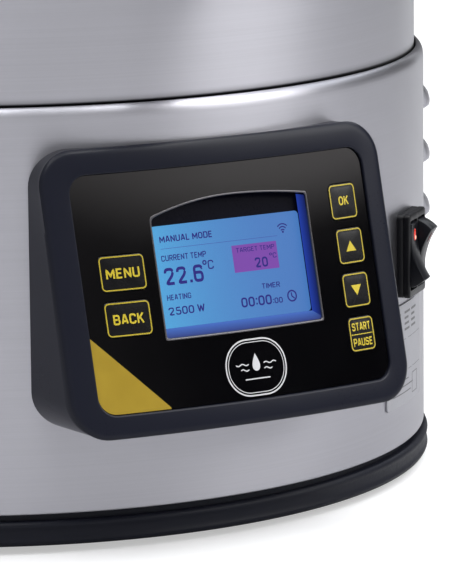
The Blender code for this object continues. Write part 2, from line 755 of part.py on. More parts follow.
# ---- pump, heater and electrics in the base ----
def pump():
    """The magnetic pump under the boiler's middle: motor, volute and impeller."""
    motor = [(0.0, 0.0580), (0.0290, 0.0580), (0.0290, 0.0100), (0.0320, 0.0100),
             (0.0320, 0.0023), (0.0, 0.0023)]
    part(turned("pump_motor", motor, closed=False, steps=24), "aluminium")
    volute = [(0.0, 0.0613), (0.0320, 0.0613), (0.0320, 0.0800), (0.0065, 0.0800),
              (0.0065, 0.1000), (0.0090, 0.1000), (0.0090, 0.0840), (0.0360, 0.0840),
              (0.0360, 0.0583), (0.0, 0.0583)]
    body = turned("pump_volute", volute, closed=False, steps=24)
    for radius, low, high, action in ((0.0078, 0.0335, 0.0570, join), (0.0052, 0.0270, 0.0600, cut)):
        spigot = cylinder(f"pump_spigot_{action.__name__}", radius, low, high, 16)
        spigot.rotation_euler = (-math.pi / 2, 0.0, 0.0)
        spigot.location = (0.0, 0.0, PUMP_OUTLET_Z)
        action(body, spigot)
    part(body, "black")
    outline = []
    blades = 6
    for i in range(blades):
        middle = 360 / blades * i
        outline += arc(0.0, 0.0, 0.0075, middle - 22, middle - 16, 1)
        outline += arc(0.0, 0.0, 0.0280, middle - 4, middle + 4, 1)
        outline += arc(0.0, 0.0, 0.0075, middle + 16, middle + 22, 1)
    impeller = flat_plate("pump_impeller", [outline], 0.0150)
    impeller.location = (0.0, 0.0, 0.0705)
    part(impeller, "black")


def hoses():
    """The hose from the boiler's floor to the pump, and the one from the pump to the riser."""
    suction = [(0.0093, FLOOR_Z - GAP), (0.0120, FLOOR_Z - GAP), (0.0120, 0.0865),
               (0.0093, 0.0865)]
    part(turned("suction_hose", suction, steps=SMALL_SEGMENTS), "silicone")
    corners = [(0.0, 0.0575, PUMP_OUTLET_Z), (0.0, 0.0950, PUMP_OUTLET_Z),
               (0.0, 0.1150, FITTING_Z), (0.0, 0.1560, FITTING_Z)]
    part(tube("pressure_hose", rounded_path(corners, 0.018), 0.0085, 2), "silicone")


def heater():
    """The ring heater under the floor, the dry-boil cut-out and the temperature probe."""
    top = FLOOR_Z - GAP
    ring = [(0.0500, top), (0.1250, top), (0.1250, 0.1570), (0.0500, 0.1570)]
    part(turned("heater_ring", ring), "aluminium")
    cutout = turned("thermal_cutout", [(0.0, top), (0.0080, top), (0.0080, 0.1560), (0.0, 0.1560)],
                    closed=False, steps=16)
    cutout.location = (0.032, 0.0, 0.0)
    part(cutout, "black")
    probe = turned("temperature_probe",
                   [(0.0, 0.1880), (0.0022, 0.1875), (0.0030, 0.1860), (0.0030, top), (0.0070, top),
                    (0.0070, 0.1560), (0.0, 0.1560)], closed=False, steps=12)
    probe.location = (-0.035, 0.0, 0.0)
    part(probe, "polished")


def relay_board():
    """The power board on four posts, with three relays."""
    board = box("relay_board", (-0.120, -0.040, 0.0150), (-0.055, 0.040, 0.0166))
    for i, (x, y) in enumerate(((-0.115, -0.035), (-0.115, 0.035), (-0.060, -0.035), (-0.060, 0.035))):
        join(board, box(f"board_post_{i}", (x - 0.003, y - 0.003, 0.0023),
                        (x + 0.003, y + 0.003, 0.0155)))
    for i in range(3):
        y = -0.024 + 0.024 * i
        join(board, box(f"relay_{i}", (-0.108, y - 0.008, 0.0160), (-0.078, y + 0.008, 0.0340)))
    return part(board, "board")


# ---- boiler ----
def boiler():
    """The steel boiler: floor with a round corner, a rolled rim above and a short skirt below."""
    floor_top = FLOOR_Z + BOILER_WALL
    profile = [
        (0.0, floor_top), (0.1600, floor_top), (INNER_R, floor_top + 0.0050), (INNER_R, RIM_Z),
        (0.1692, RIM_Z), (0.1700, RIM_Z - 0.0020), (0.1692, RIM_Z - 0.0045),
        (BOILER_R, RIM_Z - 0.0050),
        (BOILER_R, 0.1506), (0.1654, 0.1506), (0.1654, FLOOR_Z), (0.0, FLOOR_Z),
    ]
    vessel = turned("boiler", profile, closed=False)
    cut(vessel, cylinder("floor_outlet", 0.0080, 0.150, 0.180))
    probe_hole = cylinder("probe_hole", 0.0033, 0.150, 0.180, 12)
    probe_hole.location = (-0.035, 0.0, 0.0)
    cut(vessel, probe_hole)
    cut(vessel, facing_front(cylinder("tap_hole", 0.0100, 0.150, 0.180), z=TAP_Z))
    return part(vessel, "steel")


def side_handles():
    """Two black side handles, each a bar between two pads that fit the boiler's wall."""
    for name, azimuth in (("handle_right", math.radians(90)), ("handle_left", math.radians(-90))):
        mount = azimuth_empty(name + "_axis", azimuth)
        corners = [(-0.046, -0.1630, HANDLE_Z), (-0.046, -0.2040, HANDLE_Z),
                   (0.046, -0.2040, HANDLE_Z), (0.046, -0.1630, HANDLE_Z)]
        bar = tube(name, rounded_path(corners, 0.020), 0.0075, 2)
        bar.parent = mount
        for side in (-1, 1):
            pad = box(f"{name}_pad_{side}", (side * 0.046 - 0.013, -0.1700, HANDLE_Z - 0.016),
                      (side * 0.046 + 0.013, -0.1500, HANDLE_Z + 0.016))
            pad.parent = mount
            join(bar, pad)
        wall = cylinder(name + "_wall", BOILER_R + GAP, HANDLE_Z - 0.05, HANDLE_Z + 0.05, 144)
        cut(bar, wall)
        part(bar, "black")


# ---- tap ----
def tap():
    """The ball tap above the panel: body, ball with its stem, lever, sleeve, locknut and dip tube."""
    ball_s = -TAP_BALL_Y
    cavity = arc(0.0, ball_s, 0.0104, -54, 54, 5)
    body = [(0.0060, 0.2420), (0.0072, 0.2420), (0.0088, 0.2360), (0.0078, 0.2358),
            (0.0090, 0.2300), (0.0080, 0.2298), (0.0080, 0.2160), (0.0110, 0.2160),
            (0.0140, 0.2080), (0.0140, 0.1745), (0.0165, 0.1745), (0.0165, 0.1672),
            (0.0096, 0.1672), (0.0096, 0.1560), (0.0060, 0.1560)] + cavity
    housing = facing_front(turned("tap_body", body, steps=SMALL_SEGMENTS), z=TAP_Z)
    collar = cylinder("tap_collar", 0.0080, TAP_Z + 0.0115, TAP_Z + 0.0190, 16)
    collar.location = (0.0, TAP_BALL_Y, 0.0)
    join(housing, collar)
    stem_hole = cylinder("tap_stem_hole", 0.0042, TAP_Z, TAP_Z + 0.030, 16)
    stem_hole.location = (0.0, TAP_BALL_Y, 0.0)
    cut(housing, stem_hole)
    part(housing, "polished")

    ball = mesh_object("tap_ball", [], [], [])
    form = bmesh.new()
    bmesh.ops.create_uvsphere(form, u_segments=18, v_segments=9, radius=0.0098)
    form.to_mesh(ball.data)
    form.free()
    ball.location = (0.0, TAP_BALL_Y, TAP_Z)
    stem = cylinder("tap_stem", 0.0038, TAP_Z + 0.005, TAP_Z + 0.0245, 12)
    stem.location = (0.0, TAP_BALL_Y, 0.0)
    join(ball, stem)
    bore = cylinder("ball_bore", 0.0058, -0.02, 0.02, 16)
    bore.rotation_euler = (0.0, math.pi / 2, 0.0)
    bore.location = (0.0, TAP_BALL_Y, TAP_Z)
    cut(ball, bore)
    part(ball, "polished")

    top = TAP_Z + 0.0192
    outline = rounded_rectangle(-0.085, 0.009, -0.008, 0.008, 0.0075, 4)
    lever = flat_plate("tap_lever", [outline, arc(0.0, 0.0, 0.0041, 0, 330, 11)], 0.0022)
    lever.location = (0.0, TAP_BALL_Y, top + 0.0011)
    part(lever, "polished")
    sleeve = box("tap_lever_sleeve", (-0.090, -0.0105, -0.0030), (-0.035, 0.0105, 0.0030))
    slot = box("sleeve_slot", (-0.0855, -0.0083, -0.0014), (-0.030, 0.0083, 0.0014))
    for obj in (sleeve, slot):
        obj.location = lever.location
    cut(sleeve, slot)
    bevel = sleeve.modifiers.new("round", "BEVEL")
    bevel.width = 0.0014
    bevel.segments = 1
    bevel.limit_method = "ANGLE"
    sleeve.modifiers.move(1, 0)
    part(sleeve, "rubber")
    nut = facing_front(cylinder("tap_locknut", 0.0165, 0.1580, 0.1640, 6), z=TAP_Z)
    cut(nut, facing_front(cylinder("locknut_thread", 0.0101, 0.150, 0.170), z=TAP_Z))
    part(nut, "brass")
    corners = [(0.0, -0.1557, TAP_Z), (0.0, -0.1487, TAP_Z), (0.0, -0.1487, 0.1700)]
    part(tube("dip_tube", rounded_path(corners, 0.0065), 0.0052, 2), "polished")


# ---- malt pipe ----
def malt_pipe():
    """The lift-out malt pipe: feet left by four notches, a ledge for the screen, two lifting holes."""
    inside = PIPE_R - PIPE_WALL
    low = FLOOR_Z + BOILER_WALL + GAP
    profile = [
        (inside, PIPE_TOP), (PIPE_R, PIPE_TOP), (PIPE_R, low), (inside, low),
        (inside, SCREEN_Z - 0.0015), (0.1330, SCREEN_Z - 0.0015), (0.1330, SCREEN_Z - GAP),
        (inside, SCREEN_Z - GAP),
    ]
    pipe = turned("malt_pipe", profile)
    for i in range(2):
        notch = box(f"pipe_notch_{i}", (-0.16, -0.045, 0.150), (0.16, 0.045, 0.190))
        notch.rotation_euler = (0.0, 0.0, math.radians(90 * i + 45))
        cut(pipe, notch)
    holes = cylinder("lifting_holes", 0.0090, -0.16, 0.16, 16)
    holes.rotation_euler = (0.0, math.pi / 2, 0.0)
    holes.location = (0.0, 0.0, 0.600)
    cut(pipe, holes)
    part(pipe, "polished")

    bottom = [(0.0104, SCREEN_Z + 0.0015), (0.1384, SCREEN_Z + 0.0015), (0.1384, SCREEN_Z),
              (0.0104, SCREEN_Z)]
    part(turned("screen_bottom", bottom), "steel")
    flange = SCREEN_Z + 0.0015 + GAP
    overflow = [
        (0.0088, OVERFLOW_TOP), (OVERFLOW_R, OVERFLOW_TOP), (OVERFLOW_R, flange + 0.002),
        (0.0160, flange + 0.002), (0.0160, flange), (OVERFLOW_R, flange), (OVERFLOW_R, 0.1990),
        (0.0088, 0.1990),
    ]
    part(turned("overflow_pipe", overflow, steps=24), "polished")
    stop = [(0.0103, STOP_Z + 0.008), (0.0155, STOP_Z + 0.008), (0.0155, STOP_Z), (0.0103, STOP_Z)]
    part(turned("screen_stop", stop, steps=24), "silicone")
    rest = STOP_Z + 0.008 + GAP
    top = [(0.0108, rest + 0.0015), (0.1340, rest + 0.0015), (0.1384, rest + 0.006),
           (0.1384, rest + 0.0045), (0.1352, rest), (0.0108, rest)]
    part(turned("screen_top", top), "steel")


# ---- lid ----
def glass_top(radius):
    """Return the height of the lid glass's upper side at a radius."""
    return GLASS_EDGE_Z + GLASS_RISE * (1 - (radius / GLASS_R) ** 2)


def lid():
    """The domed glass lid: glass, steel rim, knob, and the silicone stopper in its hose hole."""
    radii = [GLASS_R * i / 5 for i in range(6)]
    profile = [(r, glass_top(r)) for r in radii]
    profile += [(r, glass_top(r) - GLASS_THICK) for r in reversed(radii)]
    glass = turned("lid_glass", profile, closed=False)
    cut(glass, cylinder("knob_hole", 0.0045, 0.64, 0.70, 12))
    hose_hole = cylinder("hose_hole", 0.0140, 0.64, 0.70)
    hose_hole.location = (0.0, STOPPER_Y, 0.0)
    cut(glass, hose_hole)
    part(glass, "glass")
    rim = [
        (0.1600, 0.6588), (0.1700, 0.6560), (LID_R, 0.6546), (LID_R, RIM_Z + GAP),
        (0.1637, RIM_Z + GAP), (0.1637, 0.6430), (0.1627, 0.6430), (0.1627, 0.6512),
        (0.1706, 0.6512), (0.1706, 0.6546), (0.1600, 0.6577),
    ]
    part(turned("lid_rim", rim), "polished")
    base = glass_top(0.0) + GAP
    knob = [(0.0, base + 0.0275), (0.0120, base + 0.0270), (0.0180, base + 0.0235),
            (0.0190, base + 0.0190), (0.0165, base + 0.0140), (0.0100, base + 0.0080),
            (0.0110, base + 0.0030), (0.0145, base), (0.0040, base), (0.0040, base - 0.0070),
            (0.0, base - 0.0070)]
    part(turned("lid_knob", knob, closed=False, steps=24), "black")
    seat = glass_top(STOPPER_Y - 0.017) + GAP
    stopper = turned("lid_stopper", [(0.0, seat + 0.0110), (0.0055, seat + 0.0105),
                                     (0.0062, seat + 0.0035), (0.0165, seat + 0.0030),
                                     (0.0170, seat), (0.0134, seat), (0.0128, seat - 0.0120),
                                     (0.0, seat - 0.0120)], closed=False, steps=SMALL_SEGMENTS)
    stopper.location = (0.0, STOPPER_Y, 0.0)
    part(stopper, "silicone")


# ---- return line ----
def return_line():
    """The riser at the back: elbow with ball valve, lever, pipe, and the arm that swings inwards."""
    corners = [(0.0, 0.1590, FITTING_Z), (0.0, RISER_Y, FITTING_Z), (0.0, RISER_Y, 0.1690)]
    valve = tube("return_valve", rounded_path(corners, 0.013), 0.0080, 3)
    flange = cylinder("valve_flange", 0.0125, 0.1706, 0.1740, 16)
    flange.rotation_euler = (-math.pi / 2, 0.0, 0.0)
    flange.location = (0.0, 0.0, FITTING_Z)
    join(valve, flange)
    barrel = cylinder("valve_barrel", 0.0125, RISER_VALVE_Z - 0.0140, RISER_VALVE_Z + 0.0140, 16)
    barrel.location = (0.0, RISER_Y, 0.0)
    join(valve, barrel)
    for radius, low, high, action in ((0.0070, 0.0060, 0.0170, join), (0.0036, 0.0080, 0.0300, cut)):
        neck = cylinder(f"valve_neck_{action.__name__}", radius, low, high, 16)
        neck.rotation_euler = (-math.pi / 2, 0.0, 0.0)
        neck.location = (0.0, RISER_Y, RISER_VALVE_Z)
        action(valve, neck)
    part(valve, "polished")

    outline = rounded_rectangle(-0.060, 0.008, -0.006, 0.006, 0.0055, 4)
    lever = flat_plate("return_lever", [outline], 0.0030)
    lever.rotation_euler = (-math.pi / 2, 0.0, 0.0)
    lever.location = (0.0, RISER_Y + 0.0173 + 0.0015, RISER_VALVE_Z)
    stem = cylinder("return_stem", 0.0032, 0.0090, 0.0190, 12)
    stem.rotation_euler = (-math.pi / 2, 0.0, 0.0)
    stem.location = (0.0, RISER_Y, RISER_VALVE_Z)
    join(lever, stem)
    part(lever, "red")

    riser = [(0.0, RISER_TOP), (0.0080, RISER_TOP), (0.0080, 0.1693), (0.0, 0.1693)]
    pipe = turned("return_pipe", riser, closed=False, steps=16)
    pipe.location = (0.0, RISER_Y, 0.0)
    for i, height in enumerate((0.260, 0.600)):
        clip = box(f"riser_clip_{i}", (-0.006, BOILER_R + GAP - RISER_Y, height - 0.006),
                   (0.006, 0.0, height + 0.006))
        clip.location = (0.0, RISER_Y, 0.0)
        join(pipe, clip)
    part(pipe, "polished")

    height = RISER_TOP + 0.026
    corners = [(0.0, RISER_Y, RISER_TOP + GAP), (0.0, RISER_Y, height),
               (-ARM_REACH, RISER_Y, height), (-ARM_REACH, RISER_Y, height - 0.020)]
    arm = tube("return_arm", rounded_path(corners, 0.014), 0.0080, 3)
    bore = cylinder("arm_bore", 0.0060, height - 0.030, height - 0.004, 12)
    bore.location = (-ARM_REACH, RISER_Y, 0.0)
    cut(arm, bore)
    part(arm, "polished")


def main():
    """Build every part, then make the modifiers part of the meshes."""
    clear_scene()
    base_ring()
    bottom_cover()
    rubber_feet()
    lower_shell()
    support_ring()
    panel_housing()
    panel_bezel()
    panel_overlay()
    panel_keys()
    lcd_surround()
    lcd_module()
    control_board()
    switch_mount = azimuth_empty("switch_axis", SWITCH_AZIMUTH)
    switch_backing(switch_mount)
    switch_frame(switch_mount)
    rocker("rocker_power", switch_mount, -1)
    rocker("rocker_pump", switch_mount, 1)
    rating_label()
    cable_gland()
    pump()
    hoses()
    heater()
    relay_board()
    boiler()
    side_handles()
    tap()
    malt_pipe()
    lid()
    return_line()
    for obj in list(collection("all_in_one_brewer").objects):
        settle(obj)


main()
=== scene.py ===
"""Finished surfaces of an electric all-in-one brewer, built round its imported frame.

Every shape is a grid of points worked out as whole arrays: a line turned round an axis, a section
carried along a path, loops joined one to the next, or a flat sheet bent onto the control panel.
Lengths are metres. The brewer's axis is Z and its control panel faces -Y.
"""

import math

import bmesh
import bpy
import numpy as np
from bpy.props import FloatProperty, FloatVectorProperty, IntProperty, PointerProperty
from mathutils import Matrix, Vector


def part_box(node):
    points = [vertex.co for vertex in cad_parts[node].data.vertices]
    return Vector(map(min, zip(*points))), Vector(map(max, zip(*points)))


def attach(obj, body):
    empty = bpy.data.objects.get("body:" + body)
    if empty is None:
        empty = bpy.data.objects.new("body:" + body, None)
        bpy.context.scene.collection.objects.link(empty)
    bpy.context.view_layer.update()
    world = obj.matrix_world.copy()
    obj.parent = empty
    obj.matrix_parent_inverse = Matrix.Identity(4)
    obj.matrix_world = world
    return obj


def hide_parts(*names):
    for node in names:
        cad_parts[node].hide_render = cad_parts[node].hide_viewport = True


bl_info = {
    "name": "All-in-one brewer surfaces",
    "version": (1, 0, 0),
    "blender": (4, 5, 0),
    "location": "3D View > Sidebar > Brewer",
    "description": "Builds the finished surfaces of an electric all-in-one brewer round its frame",
    "category": "Object",
}

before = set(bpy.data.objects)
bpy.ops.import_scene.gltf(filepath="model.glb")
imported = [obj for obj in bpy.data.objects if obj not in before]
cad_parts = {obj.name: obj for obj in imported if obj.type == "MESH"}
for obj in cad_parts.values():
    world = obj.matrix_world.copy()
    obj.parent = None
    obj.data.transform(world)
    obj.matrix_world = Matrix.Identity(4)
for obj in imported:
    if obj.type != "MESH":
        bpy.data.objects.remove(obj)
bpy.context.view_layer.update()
MM = 0.001

# ---- sizes shared with the frame ----
SHELL_R = 0.170
SHELL_TOP = 0.1587
SHELL_FOOT = 0.0114
BOILER_R = 0.1664
RIM_Z = 0.650
FLOOR_Z = 0.164
LOUVRE_AZIMUTHS = (72.0, -72.0)
LOUVRE_BASES = (0.1307, 0.1094, 0.0880)
LOUVRE_HEIGHT = 0.0094
LOUVRE_HALF = 10.5
PANEL_OPENING = 21.6
FACE_TILT = math.radians(14.53)
FACE_BEND_R = 0.417
FACE_Y = 0.1733
FACE_Z = 0.14335
FACE_BOX = (-0.0709, 0.0709, 0.0445, 0.1446)
FACE_CORNER = 0.0135
BACK_BOX = (-0.0684, 0.0684, 0.0430, 0.1440)
OVERLAY_BOX = (-0.0604, 0.0620, 0.0531, 0.1354)
OVERLAY_CORNER = 0.0065
OVERLAY_OUT = -0.0010
WINDOW_BOX = (-0.0310, 0.0347, 0.0770)
WINDOW_TOP = (0.1188, 0.1244, 0.1217)
SCREEN_OUT = -0.0066
LIT_BOX = (-0.0290, 0.0330, 0.0795, 0.1150)
DOT_PITCH = 0.00026
KEYS = {
    "key_menu": (-0.0536, -0.0358, 0.0950, 0.1075),
    "key_back": (-0.0538, -0.0360, 0.0793, 0.0915),
    "key_ok": (0.0450, 0.0573, 0.1106, 0.1232),
    "key_up": (0.0456, 0.0578, 0.0947, 0.1073),
    "key_down": (0.0455, 0.0576, 0.0793, 0.0915),
    "key_start_pause": (0.0454, 0.0571, 0.0637, 0.0759),
}
SWITCH_TURN = math.radians(40.0)
SWITCH_Z = 0.0853
SWITCH_OUT = 0.1746
SWITCH_HALF = 0.0110
ROCKER_SIDE = 0.00495
ROCKER_PIVOT = 0.1706
ROCKER_TILT = math.radians(13.0)
TAP_Z = 0.216
TAP_BALL = 0.191
RISER_Y = 0.188
RISER_TOP = 0.690
VALVE_Z = 0.150
FITTING_Z = 0.110
ARM_REACH = 0.098
STOPPER_Y = 0.090
HANDLE_Z = 0.560
HANDLE_HALF = 0.046
PIPE_R = 0.140
GLAND_TURN = math.radians(150.0)
GLAND_Z = 0.040


# ---- what a user would change ----
class FinishSettings(bpy.types.PropertyGroup):
    """Colours of the finishes, as linear light."""

    steel: FloatVectorProperty(name="Steel", description="Brushed shell and boiler",
                               subtype="COLOR",
                               size=3, default=(0.50, 0.495, 0.535), min=0.0, max=1.0)
    slate: FloatVectorProperty(name="Slate", description="Panel frame and base ring",
                               subtype="COLOR",
                               size=3, default=(0.0068, 0.0078, 0.0150), min=0.0, max=1.0)
    gloss: FloatVectorProperty(name="Gloss black", description="Panel overlay", subtype="COLOR",
                               size=3, default=(0.0010, 0.0009, 0.0014), min=0.0, max=1.0)
    legend: FloatVectorProperty(name="Legend yellow", description="Key outlines and legends",
                                subtype="COLOR", size=3, default=(0.56, 0.43, 0.012), min=0.0,
                                max=1.0)
    backlight: FloatVectorProperty(name="Backlight", description="Lit display, left side",
                                   subtype="COLOR", size=3, default=(0.070, 0.375, 0.690),
                                   min=0.0, max=1.0)
    ink: FloatVectorProperty(name="Display ink", description="Figures on the display",
                             subtype="COLOR", size=3, default=(0.016, 0.013, 0.155), min=0.0,
                             max=1.0)


class ShapeSettings(bpy.types.PropertyGroup):
    """Sizes of the surface detail."""

    turn_steps: IntProperty(name="Turn steps", description="Facets round a large turned piece",
                            default=192, min=48, max=720)
    louvre_depth: FloatProperty(name="Louvre depth", description="How far a louvre stands out",
                                default=0.0049, unit="LENGTH", subtype="DISTANCE")
    outline_width: FloatProperty(name="Key outline", description="Width of a key's yellow outline",
                                 default=0.00044, unit="LENGTH", subtype="DISTANCE")
    key_crown: FloatProperty(name="Key crown", description="Rise of a key's middle over its edge",
                             default=0.00011, unit="LENGTH", subtype="DISTANCE")


class StageSettings(bpy.types.PropertyGroup):
    """Light, floor and lens."""

    lens: FloatProperty(name="Lens", description="Focal length on a 36 mm sensor", default=292.49,
                        min=20.0, max=500.0)
    surround: FloatProperty(name="Surround", description="Brightness that surfaces reflect",
                            default=0.47, min=0.0, max=4.0)
    softbox: FloatProperty(name="Softbox", description="Power of the large front light",
                           default=26.0,
                           subtype="POWER", min=0.0)
    overhead: FloatProperty(name="Overhead", description="Power of the light above", default=40.0,
                            subtype="POWER", min=0.0)
    strip: FloatProperty(name="Strip", description="Power of the tall side light", default=0.6,
                         subtype="POWER", min=0.0)


# ---- points and surfaces ----
def rounded_line(corners, rounding, steps=5, closed=False):
    """Return a line through the corners with each corner rounded.

    A corner C with rounding d becomes (1-t)^2 A + 2t(1-t) C + t^2 B for t from 0 to 1, where A and
    B lie at distance d from C along its two sides.
    """
    corners = np.asarray(corners, float)
    rounding = np.broadcast_to(np.asarray(rounding, float), len(corners))[:, None, None]
    before = np.roll(corners, 1, 0) - corners
    after = np.roll(corners, -1, 0) - corners
    before = before / np.maximum(np.linalg.norm(before, axis=1, keepdims=True), 1e-9)
    after = after / np.maximum(np.linalg.norm(after, axis=1, keepdims=True), 1e-9)
    t = np.linspace(0.0, 1.0, steps + 1)[None, :, None]
    arcs = corners[:, None] + rounding * ((1 - t) ** 2 * before[:, None] + t**2 * after[:, None])
    if closed:
        return arcs.reshape(-1, corners.shape[1])
    return np.concatenate([corners[:1], arcs[1:-1].reshape(-1, corners.shape[1]), corners[-1:]])


def refined(line, step, closed=False):
    """Return the line with every stretch longer than step divided evenly."""
    ends = np.roll(line, -1, 0) if closed else line[1:]
    parts = []
    for start, end in zip(line, ends):
        count = max(1, int(np.ceil(np.linalg.norm(end - start) / step)))
        parts.append(start + (end - start) * np.arange(count)[:, None] / count)
    if not closed:
        parts.append(line[-1:])
    return np.concatenate(parts)


def outline(left, right, low, high, radius, corner_steps=8, side_steps=12):
    """Return a rounded rectangle's points: four quarter arcs and evenly divided sides."""
    radius = np.broadcast_to(np.asarray(radius, float), 4)
    signs = ((1, 1), (-1, 1), (-1, -1), (1, -1))
    corners = ((right, high), (left, high), (left, low), (right, low))
    arcs = []
    for k, ((sx, sz), (cx, cz)) in enumerate(zip(signs, corners)):
        a = np.radians(90 * k + np.linspace(0, 90, corner_steps + 1))
        arcs.append(np.stack([cx - sx * radius[k] + radius[k] * np.cos(a),
                              cz - sz * radius[k] + radius[k] * np.sin(a)], 1))
    t = np.arange(1, side_steps)[:, None] / side_steps
    parts = []
    for k in range(4):
        end = arcs[(k + 1) % 4][0]
        parts += [arcs[k], arcs[k][-1] + (end - arcs[k][-1]) * t]
    return np.concatenate(parts)


def face_outline(box, inset, radius, **steps):
    """Return a box's rounded outline drawn in by an inset."""
    left, right, low, high = box
    return outline(left + inset, right - inset, low + inset, high - inset,
                   max(radius - inset, 0.0006), **steps)


def window_outline(grow, steps=24):
    """Return the display window's outline, its top a shallow arch: crown - k t^2."""
    left, right, low = WINDOW_BOX
    t = np.linspace(1.0, -1.0, steps)
    drop = np.where(t > 0, WINDOW_TOP[1] - WINDOW_TOP[2], WINDOW_TOP[1] - WINDOW_TOP[0])
    x = (left + right) / 2 + (right - left + 2 * grow) / 2 * t
    top = np.stack([x, WINDOW_TOP[1] - drop * t * t + grow], 1)
    base = np.stack([x[::-1], np.full(steps, low - grow)], 1)
    rounding = np.zeros(2 * steps)
    rounding[[steps - 1, steps, 2 * steps - 1, 0]] = (0.0018, 0.0011, 0.0011, 0.0009)
    return rounded_line(np.concatenate([top, base]), rounding, 4, closed=True)


def face_point(x, z, out, bent=True):
    """Return points of the raked face: y falls back with height, and bows by x^2 / 2R across it."""
    y = -FACE_Y + (z - FACE_Z) * math.tan(FACE_TILT) - out / math.cos(FACE_TILT)
    if bent:
        y = y + x * x / (2 * FACE_BEND_R)
    return np.stack(np.broadcast_arrays(x, y, z), -1)


def on_face(line, out, bent=True):
    """Return the face points of an (x, z) line standing out by an amount."""
    return face_point(line[..., 0], line[..., 1], out, bent)


def round_axis(across, out, up, turn):
    """Return points standing out from the axis at an azimuth: 0 is the front, +90 degrees is +X."""
    across, out, up = np.broadcast_arrays(across, out, up)
    x = out * math.sin(turn) + across * math.cos(turn)
    y = -out * math.cos(turn) + across * math.sin(turn)
    return np.stack([x, y, up], -1)


def grid(points, close_rows=False, close_columns=False, finish=0, shade=0.0):
    """Return quads over a rows x columns grid of points, either way closed on request."""
    rows, columns = points.shape[:2]
    r, c = np.meshgrid(np.arange(rows if close_rows else rows - 1),
                       np.arange(columns if close_columns else columns - 1), indexing="ij")
    r2, c2 = (r + 1) % rows, (c + 1) % columns
    quads = np.stack([r * columns + c, r * columns + c2, r2 * columns + c2, r2 * columns + c], -1)
    shade = np.broadcast_to(shade, (rows, columns)).reshape(-1)
    return {"points": points.reshape(-1, 3), "faces": quads.reshape(-1, 4), "finish": finish,
            "shade": shade}


def solid(loops, finish=0):
    """Join closed loops one to the next and close both ends in a point: a capped loft."""
    loops = np.stack(np.broadcast_arrays(*loops)) if isinstance(loops, (list, tuple)) else loops
    first = np.broadcast_to(loops[0].mean(0), loops[0].shape)
    last = np.broadcast_to(loops[-1].mean(0), loops[-1].shape)
    return grid(np.concatenate([first[None], loops, last[None]]), close_columns=True,
                finish=finish)


def ring(loops, finish=0, shade=0.0):
    """Join closed loops one to the next and the last to the first: the skin of a ring."""
    return grid(np.stack(loops), close_rows=True, close_columns=True, finish=finish, shade=shade)


def turned(line, closed=True, steps=None, finish=0):
    """Turn (radius, height) points round Z: x = r sin a, y = -r cos a, z = height."""
    line = np.asarray(line, float)
    if steps is None:
        steps = bpy.context.scene.brewer_shape.turn_steps
    a = np.linspace(0, 2 * math.pi, steps, endpoint=False)
    r, h = line[:, :1], line[:, 1:]
    points = np.stack(np.broadcast_arrays(r * np.sin(a), -r * np.cos(a), h), -1)
    return grid(points, close_rows=closed, close_columns=True, finish=finish)


def swept(path, radius, normal, sides=32, flat=1.0):
    """Carry a round or oval section along a path that lies in one plane.

    The section is path + radius (cos a S + flat sin a N), S being the tangent crossed with the
    plane's normal N.
    """
    path = np.asarray(path, float)
    normal = np.asarray(normal, float)
    tangent = np.gradient(path, axis=0)
    tangent /= np.linalg.norm(tangent, axis=1, keepdims=True)
    side = np.cross(tangent, normal)
    radius = np.broadcast_to(np.asarray(radius, float), len(path))[:, None, None]
    a = np.linspace(0, 2 * math.pi, sides, endpoint=False)[None, :, None]
    return solid(path[:, None] + radius * (np.cos(a) * side[:, None] + flat * np.sin(a) * normal))


def drawn_in(line, amount):
    """Return a closed 2D line moved inwards along its own normals."""
    ahead = np.roll(line, -1, 0) - np.roll(line, 1, 0)
    area = np.sum(line[:, 0] * np.roll(line[:, 1], -1) - line[:, 1] * np.roll(line[:, 0], -1))
    normal = np.stack([ahead[:, 1], -ahead[:, 0]], 1) * np.sign(area)
    normal /= np.maximum(np.linalg.norm(normal, axis=1, keepdims=True), 1e-9)
    return line - amount * normal


def plate(line, place, low, high, edge=0.0, finish=0, rings=3):
    """Make a thick plate inside a closed line.

    place(points, level) puts 2D points at a level. The top is covered by rings that shrink towards
    the middle, and its rim is rounded by edge.
    """
    middle = line.mean(0)
    scales = np.linspace(0.0, 1.0, rings + 1)[1:-1]
    inner = drawn_in(line, edge)
    covers = [middle + (inner - middle) * s for s in scales]
    loops = [place(c, low) for c in covers] + [place(inner, low)]
    if edge:
        loops += [place(line, low + edge * 0.6), place(line, high - edge),
                  place(drawn_in(line, edge * 0.3), high - edge * 0.3)]
    loops += [place(inner, high)] + [place(c, high) for c in reversed(covers)]
    return solid(np.stack(loops), finish)


def band(line, width, place, low, high, finish=0):
    """Make a flat closed band of a width just inside a closed line."""
    inner = drawn_in(line, width)
    return ring([place(line, low), place(line, high), place(inner, high), place(inner, low)],
                finish)


def stroke(path, width, place, low, high, finish=0):
    """Make a flat line of a width along an open 2D path, its corners mitred.

    A corner's mitre is (m + n) / (1 + m.n) for the normals m and n of its two sides, kept short.
    """
    path = np.asarray(path, float)
    ahead = np.diff(path, axis=0)
    ahead /= np.maximum(np.linalg.norm(ahead, axis=1, keepdims=True), 1e-12)
    normal = np.stack([-ahead[:, 1], ahead[:, 0]], 1)
    before, after = np.concatenate([normal[:1], normal]), np.concatenate([normal, normal[-1:]])
    mitre = (before + after) / np.maximum(1 + (before * after).sum(1, keepdims=True), 0.5)
    across = mitre * width / 2
    corners = np.stack([place(path - across, low), place(path + across, low),
                        place(path + across, high), place(path - across, high)], 1)
    return solid(corners, finish)


def moved(surface, matrix):
    """Return a surface carried by a 4 x 4 matrix."""
    matrix = np.array(matrix, float)
    points = surface["points"] @ matrix[:3, :3].T + matrix[:3, 3]
    return {**surface, "points": points}


